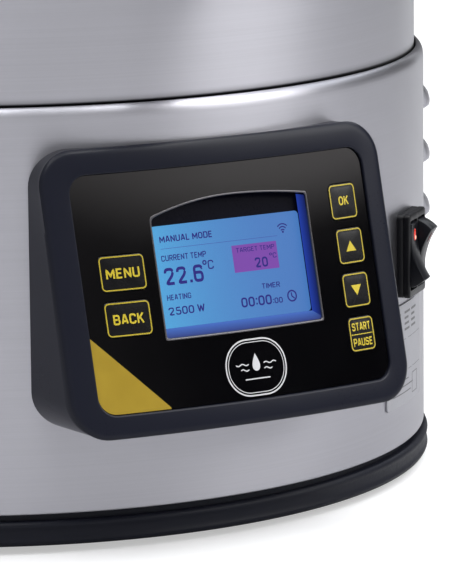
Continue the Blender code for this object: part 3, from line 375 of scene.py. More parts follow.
def distance_box(points, box, radius):
    """Return the signed distance of 2D points to a rounded rectangle, negative inside."""
    left, right, low, high = box
    centre = np.array([(left + right) / 2, (low + high) / 2])
    half = np.array([(right - left) / 2, (high - low) / 2]) - radius
    q = np.abs(points - centre) - half
    return np.linalg.norm(np.maximum(q, 0.0), axis=-1) + np.minimum(q.max(-1), 0.0) - radius


def distance_window(points):
    """Return the signed distance of 2D points to the display window, its top an arch."""
    left, right, low = WINDOW_BOX
    t = (points[..., 0] - (left + right) / 2) / ((right - left) / 2)
    drop = np.where(t > 0, WINDOW_TOP[1] - WINDOW_TOP[2], WINDOW_TOP[1] - WINDOW_TOP[0])
    arch = points[..., 1] - (WINDOW_TOP[1] - drop * t * t)
    return np.maximum(distance_box(points, (left, right, low, 0.140), 0.0011), arch)


def sheet(distance, box, spacing, out):
    """Cover the part of the face where a signed distance is negative with a grid of small quads.

    Cells whose middle is outside are left out. The points along the edge are moved down the
    distance's slope onto the edge itself, so that round corners stay smooth.
    """
    left, right, low, high = box
    xs = np.arange(left - spacing, right + 2 * spacing, spacing)
    zs = np.arange(low - spacing, high + 2 * spacing, spacing)
    points = np.stack(np.meshgrid(xs, zs, indexing="ij"), -1)
    middles = (points[1:, 1:] + points[:-1, :-1]) / 2
    kept = distance(middles) < 0
    around = np.pad(kept, 1)
    corners = np.stack([around[1:, 1:], around[:-1, 1:], around[1:, :-1], around[:-1, :-1]])
    edge = corners.any(0) & ~corners.all(0)
    tiny = spacing * 0.01
    for _ in range(4):
        here = points[edge]
        d = distance(here)
        slope = np.stack([distance(here + (tiny, 0)) - d, distance(here + (0, tiny)) - d],
                         -1) / tiny
        steepness = np.maximum((slope**2).sum(-1, keepdims=True), 0.2)
        points[edge] = here - d[:, None] * slope / steepness
    surface = grid(on_face(points, out))
    surface["faces"] = surface["faces"][kept.reshape(-1)]
    return surface


# ---- meshes and pieces ----
def shaped_mesh(name, surfaces):
    """Return one mesh of the surfaces, with doubles merged and normals outwards."""
    merge = 1e-6
    counts = np.cumsum([0] + [len(s["points"]) for s in surfaces])
    points = np.concatenate([s["points"] for s in surfaces])
    faces = np.concatenate([s["faces"] + n for s, n in zip(surfaces, counts)])
    mesh = bpy.data.meshes.new(name)
    mesh.vertices.add(len(points))
    mesh.vertices.foreach_set("co", points.astype(np.float32).ravel())
    mesh.loops.add(faces.size)
    mesh.loops.foreach_set("vertex_index", faces.astype(np.int32).ravel())
    mesh.polygons.add(len(faces))
    mesh.polygons.foreach_set("loop_start", np.arange(0, faces.size, 4, dtype=np.int32))
    finish = np.concatenate([np.full(len(s["faces"]), s["finish"]) for s in surfaces])
    mesh.polygons.foreach_set("material_index", finish.astype(np.int32))
    # Shade: a per-point mask that carries painted shade and painted glow into the finishes.
    shade = mesh.attributes.new("Shade", "FLOAT", "POINT")
    shades = np.concatenate([s["shade"] for s in surfaces])
    shade.data.foreach_set("value", shades.astype(np.float32))
    mesh.update(calc_edges=True)
    form = bmesh.new()
    form.from_mesh(mesh)
    loose = [v for v in form.verts if not v.link_faces]
    bmesh.ops.delete(form, geom=loose, context="VERTS")
    bmesh.ops.remove_doubles(form, verts=form.verts, dist=merge)
    bmesh.ops.dissolve_degenerate(form, edges=form.edges, dist=merge / 4)
    bmesh.ops.recalc_face_normals(form, faces=form.faces)
    form.to_mesh(mesh)
    form.free()
    return mesh


def mark_open_edges(mesh):
    """Mark the edges that belong to a single face as sharp, so that a thickened rim stays crisp."""
    edges = np.zeros(len(mesh.loops), np.int32)
    mesh.loops.foreach_get("edge_index", edges)
    single = np.bincount(edges, minlength=len(mesh.edges)) == 1
    marked = mesh.attributes.get("sharp_edge")
    marked = marked or mesh.attributes.new("sharp_edge", "BOOLEAN", "EDGE")
    sharp = np.zeros(len(mesh.edges), bool)
    marked.data.foreach_get("value", sharp)
    marked.data.foreach_set("value", sharp | single)


def piece(name, surfaces, body, finishes, nodes=(), wall=0.0, sharp=38.0):
    """Make a piece of the surfaces, let it ride on a body and stand for the frame's nodes."""
    if isinstance(surfaces, dict):
        surfaces = [surfaces]
    mesh = shaped_mesh(name, surfaces)
    obj = bpy.data.objects.new(name, mesh)
    bpy.context.scene.collection.objects.link(obj)
    for material in finishes if isinstance(finishes, (list, tuple)) else [finishes]:
        mesh.materials.append(bpy.data.materials[material])
    mesh.shade_smooth()
    mesh.set_sharp_from_angle(angle=math.radians(sharp))
    mark_open_edges(mesh)
    if wall:
        thick = obj.modifiers.new("wall", "SOLIDIFY")
        thick.thickness = wall
        thick.offset = -1.0
        thick.use_quality_normals = True
    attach(obj, body)
    if nodes:
        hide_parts(*([nodes] if isinstance(nodes, str) else nodes))
    return obj


# Each character: its corners' rounding, then its strokes as x,y points on a grid 6 units tall.
CHARACTERS = {
    "A": "0;0,0 1.6,6 2.4,6 4,0;0.8,1.7 3.2,1.7",
    "B": "1.4;0,0 0,6 3.8,6 3.8,3.1 0.5,3.1;2,3.1 4,3.1 4,0 0,0",
    "C": "1.4;4,4.4 4,6 0,6 0,0 4,0 4,1.6",
    "D": "1.4;0,3 0,6 4,6 4,0 0,0 0,3",
    "E": "0;3.5,6 0,6 0,0 3.5,0;0.5,3.1 3.1,3.1",
    "G": "1.4;4,4.5 4,6 0,6 0,0 4,0 4,2.8 2.4,2.8",
    "H": "0;0,-0.5 0,6.5;4,-0.5 4,6.5;0.5,3 3.5,3",
    "I": "0;0,-0.5 0,6.5",
    "K": "0;0,-0.5 0,6.5;4,6.5 0.5,2.6;1.6,3.6 4,-0.5",
    "L": "0;0,6.5 0,0 3.3,0",
    "M": "0;0,-0.5 0,6 2.5,1.6 5,6 5,-0.5",
    "N": "0;0,-0.5 0,6 4,0 4,6.5",
    "O": "1.9;2,6 0,6 0,0 4,0 4,6 2,6",
    "P": "1.4;0,-0.5 0,6 4,6 4,2.7 0.5,2.7",
    "R": "1.4;0,-0.5 0,6 4,6 4,2.8 0.5,2.8;2.2,2.6 4,-0.5",
    "S": "1.4;4,4.6 4,6 0,6 0,3.1 4,3.1 4,0 0,0 0,1.4",
    "T": "0;-0.2,6 4.2,6;2,5.5 2,-0.5",
    "U": "1.5;0,6.5 0,0 4,0 4,6.5",
    "W": "0;0,6.5 1.4,0 2.9,5.4 4.4,0 5.8,6.5",
    "0": "1.9;2,6 0,6 0,0 4,0 4,6 2,6",
    "2": "1.4;0,4.5 0,6 4,6 4,3.7 0.1,0 4.4,0",
    "5": "1.4;3.8,6 0.2,6 0.1,3.4 4,3.4 4,0 0,0 0,1.3",
    "6": "1.4;4,4.8 4,6 0,6 0,0 4,0 4,3.4 0.5,3.4",
    ".": "0;0.3,-0.5 0.3,0.7",
    ":": "0;0.3,0.4 0.3,1.6;0.3,4 0.3,5.2",
    "°": "1.15;1.3,6.4 0,6.4 0,3.7 2.6,3.7 2.6,6.4 1.3,6.4",
    " ": "0;0.1,0 0.1,0",
}
# The left corners of these stay sharp.
SHARP_LEFT = "BDPR"


def lettering(words, box, place, low, high, weight=1.0, finish=0):
    """Return the words as flat strokes that fill a box (left, right, low, high)."""
    lines, at = [], 0.0
    for letter in words:
        rounding, *strokes = CHARACTERS[letter].split(";")
        paths = [np.array([[float(v) for v in point.split(",")] for point in stroke_text.split()])
                 for stroke_text in strokes]
        for path in paths:
            if letter != " ":
                bends = np.full(len(path), float(rounding))
                if letter in SHARP_LEFT:
                    bends[path[:, 0] < 0.1] = 0.0
                bent = rounded_line(path, bends, 4) if float(rounding) else path
                bent = bent[np.r_[True, np.linalg.norm(np.diff(bent, axis=0), axis=1) > 1e-6]]
                lines.append(refined(bent, 1.0) + (at, 0.0))
        at += max(path[:, 0].max() for path in paths) + weight + 0.9
    everything = np.concatenate(lines)
    smallest = everything.min(0) - (weight / 2, 0.0)
    largest = everything.max(0) + (weight / 2, 0.0)
    smallest[1], largest[1] = -0.5, 6.5
    if words == "°C":
        largest[1] = 6.8
    left, right, bottom, top = box
    scale = np.array([right - left, top - bottom]) / (largest - smallest)
    fitted = lambda points, level: place((points - smallest) * scale + (left, bottom), level)
    return [stroke(line, weight, fitted, low, high, finish) for line in lines]


# ---- shader groups ----
def node(tree, kind, links=None, **values):
    """Add a node, set its plain values and link its inputs by socket name or number."""
    made = tree.nodes.new(kind)
    for key, value in values.items():
        setattr(made, key, value)
    for socket, source in (links or {}).items():
        target = made.inputs[socket]
        if isinstance(source, bpy.types.NodeSocket):
            tree.links.new(source, target)
        else:
            target.default_value = source
    return made


def maths(tree, operation, *values):
    """Add a Math node and return its result."""
    return node(tree, "ShaderNodeMath", dict(enumerate(values)), operation=operation).outputs[0]


def vector_maths(tree, operation, links, output=0):
    """Add a Vector Math node and return one of its results."""
    return node(tree, "ShaderNodeVectorMath", links, operation=operation).outputs[output]


def noise(tree, where, scale, detail, roughness=0.5):
    """Add a noise texture and return its value."""
    return node(tree, "ShaderNodeTexNoise", {"Vector": where, "Scale": scale, "Detail": detail,
                                             "Roughness": roughness}).outputs["Fac"]


def share_of(tree, value, low, high):
    """Return a value's share of the way from low to high, kept within 0 and 1."""
    return node(tree, "ShaderNodeMapRange", {"Value": value, "From Min": low, "From Max": high}
                ).outputs["Result"]


def blended(tree, share, first, second):
    """Return the first colour turned into the second by a share."""
    first, second = [(*c, 1.0) if isinstance(c, tuple) else c for c in (first, second)]
    return node(tree, "ShaderNodeMix", {"Factor": share, 6: first, 7: second},
                data_type="RGBA").outputs[2]


def object_place(tree):
    """Return the Object coordinates' socket."""
    return node(tree, "ShaderNodeTexCoord").outputs["Object"]


def shade_mask(tree):
    """Return the socket of a piece's own Shade attribute."""
    return node(tree, "ShaderNodeAttribute", attribute_name="Shade").outputs["Fac"]


def new_group(name, inputs, outputs):
    """Return a new shader group with its named sockets and its two end nodes."""
    tree = bpy.data.node_groups.new(name, "ShaderNodeTree")
    for label, kind, value in inputs:
        socket = tree.interface.new_socket(label, in_out="INPUT", socket_type="NodeSocket" + kind)
        if value is not None:
            socket.default_value = value
    for label, kind in outputs:
        tree.interface.new_socket(label, in_out="OUTPUT", socket_type="NodeSocket" + kind)
    return tree, tree.nodes.new("NodeGroupInput"), tree.nodes.new("NodeGroupOutput")


def grain_group(name, way, grain):
    """Build a grain group: grain() gives a tone, its range and a height; the tone sets the rest.

    way is the group's own input. The colour runs from dark to light with the tone's share of its
    range, and the roughness is roughness + spread x share.
    """
    tree, start, end = new_group(
        name, [way, ("Light", "Color", None), ("Dark", "Color", None), ("Roughness", "Float", 0.4),
               ("Spread", "Float", 0.1)],
        [("Color", "Color"), ("Roughness", "Float"), ("Height", "Float")])
    tone, low, high, height = grain(tree, object_place(tree), start.outputs[way[0]])
    share = share_of(tree, tone, low, high)
    results = {
        "Color": blended(tree, share, start.outputs["Dark"], start.outputs["Light"]),
        "Roughness": maths(tree, "MULTIPLY_ADD", share, start.outputs["Spread"],
                           start.outputs["Roughness"]),
        "Height": height,
    }
    for label, result in results.items():
        tree.links.new(result, end.inputs[label])


def brushed_grain(tree, where, stretch):
    """Brushed grain: noise drawn out along the brushing, fine lines over a coarse tone."""
    drawn = vector_maths(tree, "MULTIPLY", {0: where, 1: stretch})
    fine = noise(tree, drawn, 1.0, 3.0, 0.65)
    coarse = noise(tree, vector_maths(tree, "SCALE", {0: drawn, 3: 0.17}), 1.0, 2.0)
    lines = maths(tree, "MULTIPLY_ADD", coarse, 0.45, fine)
    cloud = noise(tree, where, 9.0, 3.0, 0.55)
    return maths(tree, "MULTIPLY_ADD", cloud, 0.5, lines), 0.62, 1.33, lines


def moulded_grain(tree, where, scale):
    """Moulded grain: fine noise for the texture and a slow one for the colour and the sheen."""
    fine = noise(tree, where, scale, 2.0, 0.6)
    slow = noise(tree, where, 24.0, 4.0, 0.6)
    return maths(tree, "ADD", fine, slow), 0.65, 1.35, fine


def punched_group():
    """Punched holes: a square net of round dots across Z, 1 in a hole and 0 on the metal."""
    tree, start, end = new_group("Punched holes", [("Pitch", "Float", 0.0035),
                                                   ("Hole", "Float", 0.3)],
                                 [("Mask", "Float")])
    pitch = start.outputs["Pitch"]
    pitch = node(tree, "ShaderNodeCombineXYZ", {0: pitch, 1: pitch, 2: 1000.0}).outputs[0]
    cell = vector_maths(tree, "DIVIDE", {0: object_place(tree), 1: pitch})
    inside = vector_maths(tree, "FRACTION", {0: cell})
    centred = vector_maths(tree, "SUBTRACT", {0: inside, 1: (0.5, 0.5, 0.0)})
    flat = vector_maths(tree, "MULTIPLY", {0: centred, 1: (1.0, 1.0, 0.0)})
    far = vector_maths(tree, "LENGTH", {0: flat}, 1)
    tree.links.new(maths(tree, "LESS_THAN", far, start.outputs["Hole"]), end.inputs["Mask"])


# ---- finishes ----
def new_material(name):
    """Return a new material with its node tree and its shader."""
    material = bpy.data.materials.new(name)
    material.use_nodes = True
    return material, material.node_tree, material.node_tree.nodes["Principled BSDF"]


def finish(name, light, dark, roughness, spread=0.08, metallic=0.0, grain="Moulded grain",
           scale=1500.0, stretch=(5.0, 5.0, 1900.0), bump=0.1, depth=0.00002, coat=0.0,
           coat_roughness=0.05, glow=None, strength=1.0, shade=None, specular=0.5, ior=1.5,
           through=0.0, fading=None, anisotropy=0.0):
    """Make a material whose colour, roughness and relief come from a grain group."""
    material, tree, shader = new_material(name)
    way = ("Stretch", stretch) if grain == "Brushed grain" else ("Scale", scale)
    source = node(tree, "ShaderNodeGroup", node_tree=bpy.data.node_groups[grain])
    for label, value in (("Light", (*light, 1.0)), ("Dark", (*dark, 1.0)),
                         ("Roughness", roughness),
                         ("Spread", spread), way):
        source.inputs[label].default_value = value
    colour = source.outputs["Color"]
    # Where a piece's Shade attribute is set, the colour is mixed towards a painted shade colour.
    if shade is not None:
        colour = blended(tree, shade_mask(tree), colour, shade)
    tree.links.new(colour, shader.inputs["Base Color"])
    tree.links.new(source.outputs["Roughness"], shader.inputs["Roughness"])
    for label, value in (("Metallic", metallic), ("Anisotropic", anisotropy),
                         ("Anisotropic Rotation", 0.25 if anisotropy else 0.0),
                         ("Specular IOR Level", specular), ("IOR", ior), ("Coat Weight", coat),
                         ("Coat Roughness", coat_roughness), ("Transmission Weight", through)):
        shader.inputs[label].default_value = value
    if bump:
        relief = node(tree, "ShaderNodeBump", {"Strength": bump, "Distance": depth,
                                               "Height": source.outputs["Height"]})
        tree.links.new(relief.outputs["Normal"], shader.inputs["Normal"])
    if glow is not None:
        shader.inputs["Emission Color"].default_value = (*glow, 1.0)
        shader.inputs["Emission Strength"].default_value = strength
    # The Shade attribute blends the emission from fading to glow: the painted glow on the display
    # walls and the stage flag's light card.
    if fading is not None:
        tree.links.new(blended(tree, shade_mask(tree), fading, glow),
                       shader.inputs["Emission Color"])
    material.diffuse_color = (*light, 1.0)
    return tree, shader


def scaled(colour, factor):
    """Return a colour made darker or lighter."""
    return tuple(min(1.0, c * factor) for c in colour)


def perforate(tree, shader, pitch, hole):
    """Paint dark holes into a metal finish: the mask darkens the colour and lowers the metal."""
    mask = node(tree, "ShaderNodeGroup", {"Pitch": pitch, "Hole": hole},
                node_tree=bpy.data.node_groups["Punched holes"]).outputs["Mask"]
    colour = shader.inputs["Base Color"].links[0].from_socket
    # Painted shade: each hole is near-black where the plate is open.
    tree.links.new(blended(tree, mask, colour, (0.01, 0.01, 0.01)), shader.inputs["Base Color"])
    tree.links.new(maths(tree, "SUBTRACT", 1.0, mask), shader.inputs["Metallic"])


def backlit_screen(name, near, far):
    """Make the lit display: its glow goes from far to near with the square of X, under a net."""
    _, tree, shader = new_material(name)
    where = object_place(tree)
    x = node(tree, "ShaderNodeSeparateXYZ", {0: where}).outputs["X"]
    share = maths(tree, "POWER", share_of(tree, x, LIT_BOX[1], LIT_BOX[0]), 2.0)
    shift = maths(tree, "MULTIPLY_ADD", noise(tree, where, 26.0, 2.0), 0.16, -0.08)
    colour = blended(tree, maths(tree, "ADD", share, shift), far, near)
    across = maths(tree, "FRACT", maths(tree, "DIVIDE", x, DOT_PITCH))
    line = maths(tree, "LESS_THAN", across, 0.12)
    tree.links.new(blended(tree, line, colour, scaled(far, 0.9)), shader.inputs["Emission Color"])
    for label, value in (("Base Color", (0.010, 0.014, 0.030, 1.0)), ("Emission Strength", 1.0),
                         ("Specular IOR Level", 0.2), ("Roughness", 0.45)):
        shader.inputs[label].default_value = value


def make_finishes():
    """Build the shader groups and every finish of the brewer."""
    colours = bpy.context.scene.brewer_finish
    grain_group("Brushed grain", ("Stretch", "Vector", (6.0, 6.0, 900.0)), brushed_grain)
    grain_group("Moulded grain", ("Scale", "Float", 1500.0), moulded_grain)
    punched_group()
    steel, slate, gloss = tuple(colours.steel), tuple(colours.slate), tuple(colours.gloss)
    legend, ink, back = tuple(colours.legend), tuple(colours.ink), tuple(colours.backlight)
    brushed = {"grain": "Brushed grain", "metallic": 1.0}
    # Jacket steel mixes towards a near-black painted shade where the Shade attribute is set: under
    # the louvres.
    finish("Jacket steel", steel, scaled(steel, 0.90), 0.33, 0.08, bump=0.07, depth=0.00003,
           anisotropy=0.75, shade=(0.01, 0.01, 0.012), **brushed)
    # Boiler steel mixes towards a near-black painted shade just above the seam.
    finish("Boiler steel", scaled(steel, 1.04), scaled(steel, 0.94), 0.32, 0.08, bump=0.07,
           depth=0.00003, anisotropy=0.75, shade=(0.005, 0.005, 0.006), **brushed)
    finish("Polished steel", (0.66, 0.66, 0.67), (0.56, 0.56, 0.57), 0.14, 0.08, bump=0.05,
           stretch=(60.0, 60.0, 60.0), **brushed)
    finish("Inner steel", (0.60, 0.60, 0.61), (0.48, 0.48, 0.49), 0.25, 0.12, bump=0.15, **brushed)
    finish("Cover steel", (0.50, 0.50, 0.51), (0.40, 0.40, 0.41), 0.40, 0.15, bump=0.10,
           stretch=(90.0, 90.0, 90.0), **brushed)
    tree, shader = finish("Perforated steel", (0.60, 0.60, 0.61), (0.50, 0.50, 0.51), 0.28, 0.12,
                          bump=0.05, stretch=(40.0, 40.0, 40.0), **brushed)
    perforate(tree, shader, 0.0042, 0.28)
    finish("Cast aluminium", (0.55, 0.55, 0.56), (0.40, 0.40, 0.41), 0.42, 0.15, metallic=1.0,
           scale=600.0, bump=0.35, depth=0.0002)
    finish("Brass", (0.66, 0.45, 0.18), (0.52, 0.34, 0.12), 0.25, 0.12, metallic=1.0, bump=0.1)
    finish("Base moulding", scaled(slate, 0.9), scaled(slate, 0.7), 0.42, 0.16, scale=900.0,
           bump=0.2,
           depth=0.00005, specular=0.19)
    finish("Panel slate", scaled(slate, 1.06), scaled(slate, 0.96), 0.27, 0.03, scale=2200.0,
           bump=0.02, depth=0.00001, specular=0.19)
    finish("Overlay gloss", gloss, scaled(gloss, 0.8), 0.07, 0.03, bump=0.002, coat=0.5,
           coat_roughness=0.05, scale=60.0, depth=0.0002, specular=0.4)
    finish("Key gloss", scaled(gloss, 1.6), scaled(gloss, 1.2), 0.24, 0.06, bump=0.03, coat=0.08,
           coat_roughness=0.12, scale=220.0, depth=0.0001, specular=0.28)
    finish("Legend yellow", legend, scaled(legend, 0.86), 0.34, 0.10, bump=0.05, scale=1800.0)
    finish("Key outline", scaled(legend, 0.80), scaled(legend, 0.68), 0.34, 0.10, bump=0.05,
           scale=1800.0)
    finish("Corner yellow", (0.36, 0.245, 0.020), (0.30, 0.20, 0.017), 0.16, 0.06, bump=0.01,
           coat=0.6, coat_roughness=0.10, scale=90.0)
    finish("Badge white", (0.58, 0.58, 0.59), (0.50, 0.50, 0.51), 0.35, 0.10, bump=0.03)
    finish("Window lip", (0.15, 0.145, 0.155), (0.10, 0.095, 0.10), 0.34, 0.10, metallic=1.0,
           bump=0.03)
    finish("Display frame", (0.003, 0.003, 0.008), (0.002, 0.002, 0.006), 0.25, 0.10, bump=0.02,
           scale=1800.0, specular=0.06)
    # Painted reflection: the recess's right and lower walls glow blue as if lit by the screen,
    # fading towards the window.
    finish("Display glow", (0.004, 0.006, 0.05), (0.003, 0.005, 0.04), 0.40, 0.10, bump=0.02,
           glow=(0.016, 0.045, 0.33), specular=0.08, fading=(0.006, 0.010, 0.06))
    finish("Display edge", (0.01, 0.02, 0.08), (0.01, 0.02, 0.07), 0.40, 0.10, bump=0.02,
           glow=(0.050, 0.125, 0.42), specular=0.1, fading=(0.020, 0.022, 0.10))
    finish("Display ink", scaled(ink, 0.3), scaled(ink, 0.2), 0.5, 0.1, bump=0.0, glow=ink,
           specular=0.15)
    finish("Display faint", (0.02, 0.02, 0.06), (0.02, 0.02, 0.05), 0.5, 0.1, bump=0.0,
           glow=(0.045, 0.085, 0.34), strength=0.9, specular=0.1)
    finish("Display block", (0.03, 0.01, 0.05), (0.02, 0.01, 0.04), 0.5, 0.1, bump=0.0,
           glow=(0.165, 0.050, 0.33), specular=0.15)
    backlit_screen("Display lit", back, (0.054, 0.175, 0.476))
    finish("Switch moulding", (0.0042, 0.0042, 0.0056), (0.0032, 0.0032, 0.0044), 0.30, 0.08,
           scale=2600.0, bump=0.02, depth=0.00001, specular=0.20)
    finish("Rocker moulding", (0.0062, 0.0066, 0.0092), (0.0052, 0.0056, 0.0080), 0.28, 0.06,
           scale=2600.0, bump=0.02, depth=0.00001, specular=0.26)
    finish("Lens lit", (0.55, 0.02, 0.012), (0.40, 0.012, 0.008), 0.12, 0.05, bump=0.05,
           glow=(1.0, 0.06, 0.025), strength=0.45, coat=1.0, scale=600.0)
    finish("Lens spot", (1.0, 0.45, 0.35), (1.0, 0.30, 0.22), 0.2, 0.05, bump=0.0,
           glow=(1.0, 0.42, 0.30), strength=1.3)
    finish("Lens dark", (0.12, 0.008, 0.006), (0.08, 0.006, 0.005), 0.12, 0.05, bump=0.05,
           coat=1.0, scale=600.0)
    finish("Label foil", (0.42, 0.42, 0.45), (0.36, 0.36, 0.385), 0.42, 0.12, metallic=0.55,
           scale=700.0, bump=0.08)
    finish("Label ink", (0.14, 0.14, 0.145), (0.11, 0.11, 0.115), 0.5, 0.1, bump=0.0)
    finish("Foot rubber", (0.018, 0.018, 0.018), (0.012, 0.012, 0.012), 0.75, 0.15, scale=700.0,
           bump=0.4, depth=0.0001)
    finish("Handle moulding", (0.020, 0.020, 0.021), (0.014, 0.014, 0.015), 0.45, 0.14,
           scale=1100.0, bump=0.35, depth=0.00008)
    finish("Gland nylon", (0.018, 0.018, 0.019), (0.012, 0.012, 0.013), 0.42, 0.12, scale=900.0,
           bump=0.2, depth=0.00005)
    finish("Pump plastic", (0.022, 0.022, 0.024), (0.015, 0.015, 0.017), 0.5, 0.15, scale=500.0,
           bump=0.3, depth=0.0001)
    finish("Circuit board", (0.015, 0.13, 0.045), (0.01, 0.09, 0.03), 0.4, 0.15, scale=350.0,
           bump=0.2)
    finish("Sensor black", (0.02, 0.02, 0.02), (0.014, 0.014, 0.014), 0.5, 0.12, bump=0.2)
    finish("Lever red", (0.50, 0.022, 0.016), (0.42, 0.016, 0.012), 0.30, 0.10, scale=900.0,
           bump=0.12, coat=0.4, coat_roughness=0.15)
    finish("Silicone", (0.62, 0.60, 0.55), (0.54, 0.52, 0.47), 0.50, 0.12, scale=500.0, bump=0.15,
           depth=0.00006)
    finish("Sleeve rubber", (0.020, 0.020, 0.021), (0.013, 0.013, 0.014), 0.55, 0.15, scale=1300.0,
           bump=0.35, depth=0.00008)
    finish("Lid glass", (0.93, 0.97, 0.96), (0.90, 0.95, 0.94), 0.02, 0.02, bump=0.0, through=1.0,
           ior=1.47)
    finish("Knob moulding", (0.018, 0.018, 0.019), (0.012, 0.012, 0.013), 0.35, 0.12, scale=1200.0,
           bump=0.2, depth=0.00005)
    tree, shader = finish("Stage floor", (0.62, 0.62, 0.625), (0.60, 0.60, 0.605), 0.75, 0.10,
                          scale=3.0, bump=0.0, glow=(1.0, 1.0, 1.0), specular=0.1)
    seen = node(tree, "ShaderNodeLightPath").outputs["Is Camera Ray"]
    tree.links.new(maths(tree, "MULTIPLY", seen, 0.46), shader.inputs["Emission Strength"])
    finish("Stage flag", (0.004, 0.004, 0.005), (0.003, 0.003, 0.004), 0.9, 0.05, scale=3.0,
           bump=0.0,
           specular=0.0, glow=(1.05, 1.0, 1.0), fading=(0.0, 0.0, 0.0))


CARRIED = {
    "Cover steel": ("bottom_cover", "support_ring"),
    "Circuit board": ("control_board", "relay_board"),
    "Sensor black": ("thermal_cutout",),
    "Polished steel": ("temperature_probe", "dip_tube"),
    "Brass": ("tap_locknut",),
    "Pump plastic": ("pump_volute", "pump_impeller"),
    "Cast aluminium": ("pump_motor", "heater_ring"),
    "Silicone": ("suction_hose", "pressure_hose"),
}


def carry_over():
    """Give the frame's own nodes that stay in view inside the brewer their finishes."""
    for name, nodes in CARRIED.items():
        for label in nodes:
            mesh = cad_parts[label].data
            mesh.materials.clear()
            mesh.materials.append(bpy.data.materials[name])


# ---- base ----
def louvre_rise(azimuth, height):
    """Return how far the louvres stand out at azimuths (degrees) and heights, and painted shade.

    From its foot up a louvre stands out at once to its full depth, keeps it from 0.15 to 0.30 of
    its height, then slopes back to the wall at its top. Its ends are rounded by (1 - s^5)^0.6.
    """
    rise = np.zeros(np.broadcast(azimuth, height).shape)
    painted_louvre_shade = np.zeros_like(rise)
    depth = bpy.context.scene.brewer_shape.louvre_depth
    for middle in LOUVRE_AZIMUTHS:
        s = np.clip(np.abs(azimuth - middle) / LOUVRE_HALF, 0, 1)
        ends = np.clip(1 - s**5, 0, 1) ** 0.6
        for base in LOUVRE_BASES:
            t = (height - base) / LOUVRE_HEIGHT
            slope = np.interp(t, [-0.03, 0.0, 0.05, 0.15, 0.30, 0.55, 0.76, 0.92, 1.0],
                              [0.0, 0.70, 0.95, 1.0, 1.0, 0.86, 0.58, 0.24, 0.0])
            rise = np.maximum(rise, depth * slope * ends)
            # Painted shade: a near-black band at each louvre's foot, where the louvre shades the
            # shell.
            under = np.interp(t, [-0.30, -0.04, 0.0, 0.03, 0.08], [0.0, 0.85, 1.0, 0.9, 0.0])
            painted_louvre_shade = np.maximum(painted_louvre_shade, under * (s < 0.93))
    return rise, painted_louvre_shade


def build_shell():
    """Lower shell: a line turned round the axis, louvres raised in it and openings left out."""
    t = np.linspace(0.0, math.pi / 2, 10)
    shoulder = np.stack([0.1672 + 0.0028 * np.cos(t), 0.1542 + 0.0045 * np.sin(t)], 1)
    foot = rounded_line([(0.1664, SHELL_FOOT), (SHELL_R, SHELL_FOOT), (SHELL_R, 0.02)],
                        [0, 0.0007, 0], 4)
    levels = [np.linspace(0.014, 0.0862, 46)]
    for base in reversed(LOUVRE_BASES):
        t = np.array([-0.12, -0.03, 0.0, 0.07, 0.15, 0.22, 0.28, 0.34, 0.46, 0.58, 0.70, 0.82,
                      0.93,
                      1.0, 1.12])
        levels.append(base + LOUVRE_HEIGHT * t)
    levels = np.concatenate(levels + [[0.0435, 0.1436, 0.0702, 0.1004, 0.152, 0.154]])
    levels = np.unique(np.round(levels[levels < 0.1540], 5))
    wall = np.stack([np.full(len(levels), SHELL_R), levels], 1)
    line = np.concatenate([foot[:-1], wall, shoulder])
    azimuths = np.concatenate([np.arange(-180, 180, 1.25)]
                              + [middle + np.linspace(-LOUVRE_HALF, LOUVRE_HALF, 61)
                                 for middle in LOUVRE_AZIMUTHS])
    edges = np.array([-PANEL_OPENING, PANEL_OPENING, 36.4, 43.6])
    azimuths = np.unique(np.round(np.concatenate([azimuths, edges]), 3))
    a, h = azimuths[None, :], line[:, 1:]
    rise, painted_louvre_shade = louvre_rise(a, h)
    r = line[:, :1] + rise
    turn = np.radians(a)
    points = np.stack(np.broadcast_arrays(r * np.sin(turn), -r * np.cos(turn), h), -1)
    # The Shade attribute carries the painted shade under the louvres into Jacket steel.
    surface = grid(points, close_columns=True, shade=painted_louvre_shade)
    middle_a = (azimuths + np.roll(azimuths, -1)) / 2
    middle_a[-1] = (azimuths[-1] + 180) / 2
    middle_h = (line[1:, 1] + line[:-1, 1]) / 2
    panel_rows = (middle_h > 0.050) & (middle_h < 0.138)
    panel = (np.abs(middle_a) < PANEL_OPENING)[None] & panel_rows[:, None]
    switch_rows = np.abs(middle_h - SWITCH_Z) < 0.0148
    switch = (np.abs(middle_a - 40.0) < 3.55)[None] & switch_rows[:, None]
    surface["faces"] = surface["faces"][~(panel | switch).reshape(-1)]
    piece("shell_wall", surface, "base", "Jacket steel", "lower_shell", wall=0.0009)


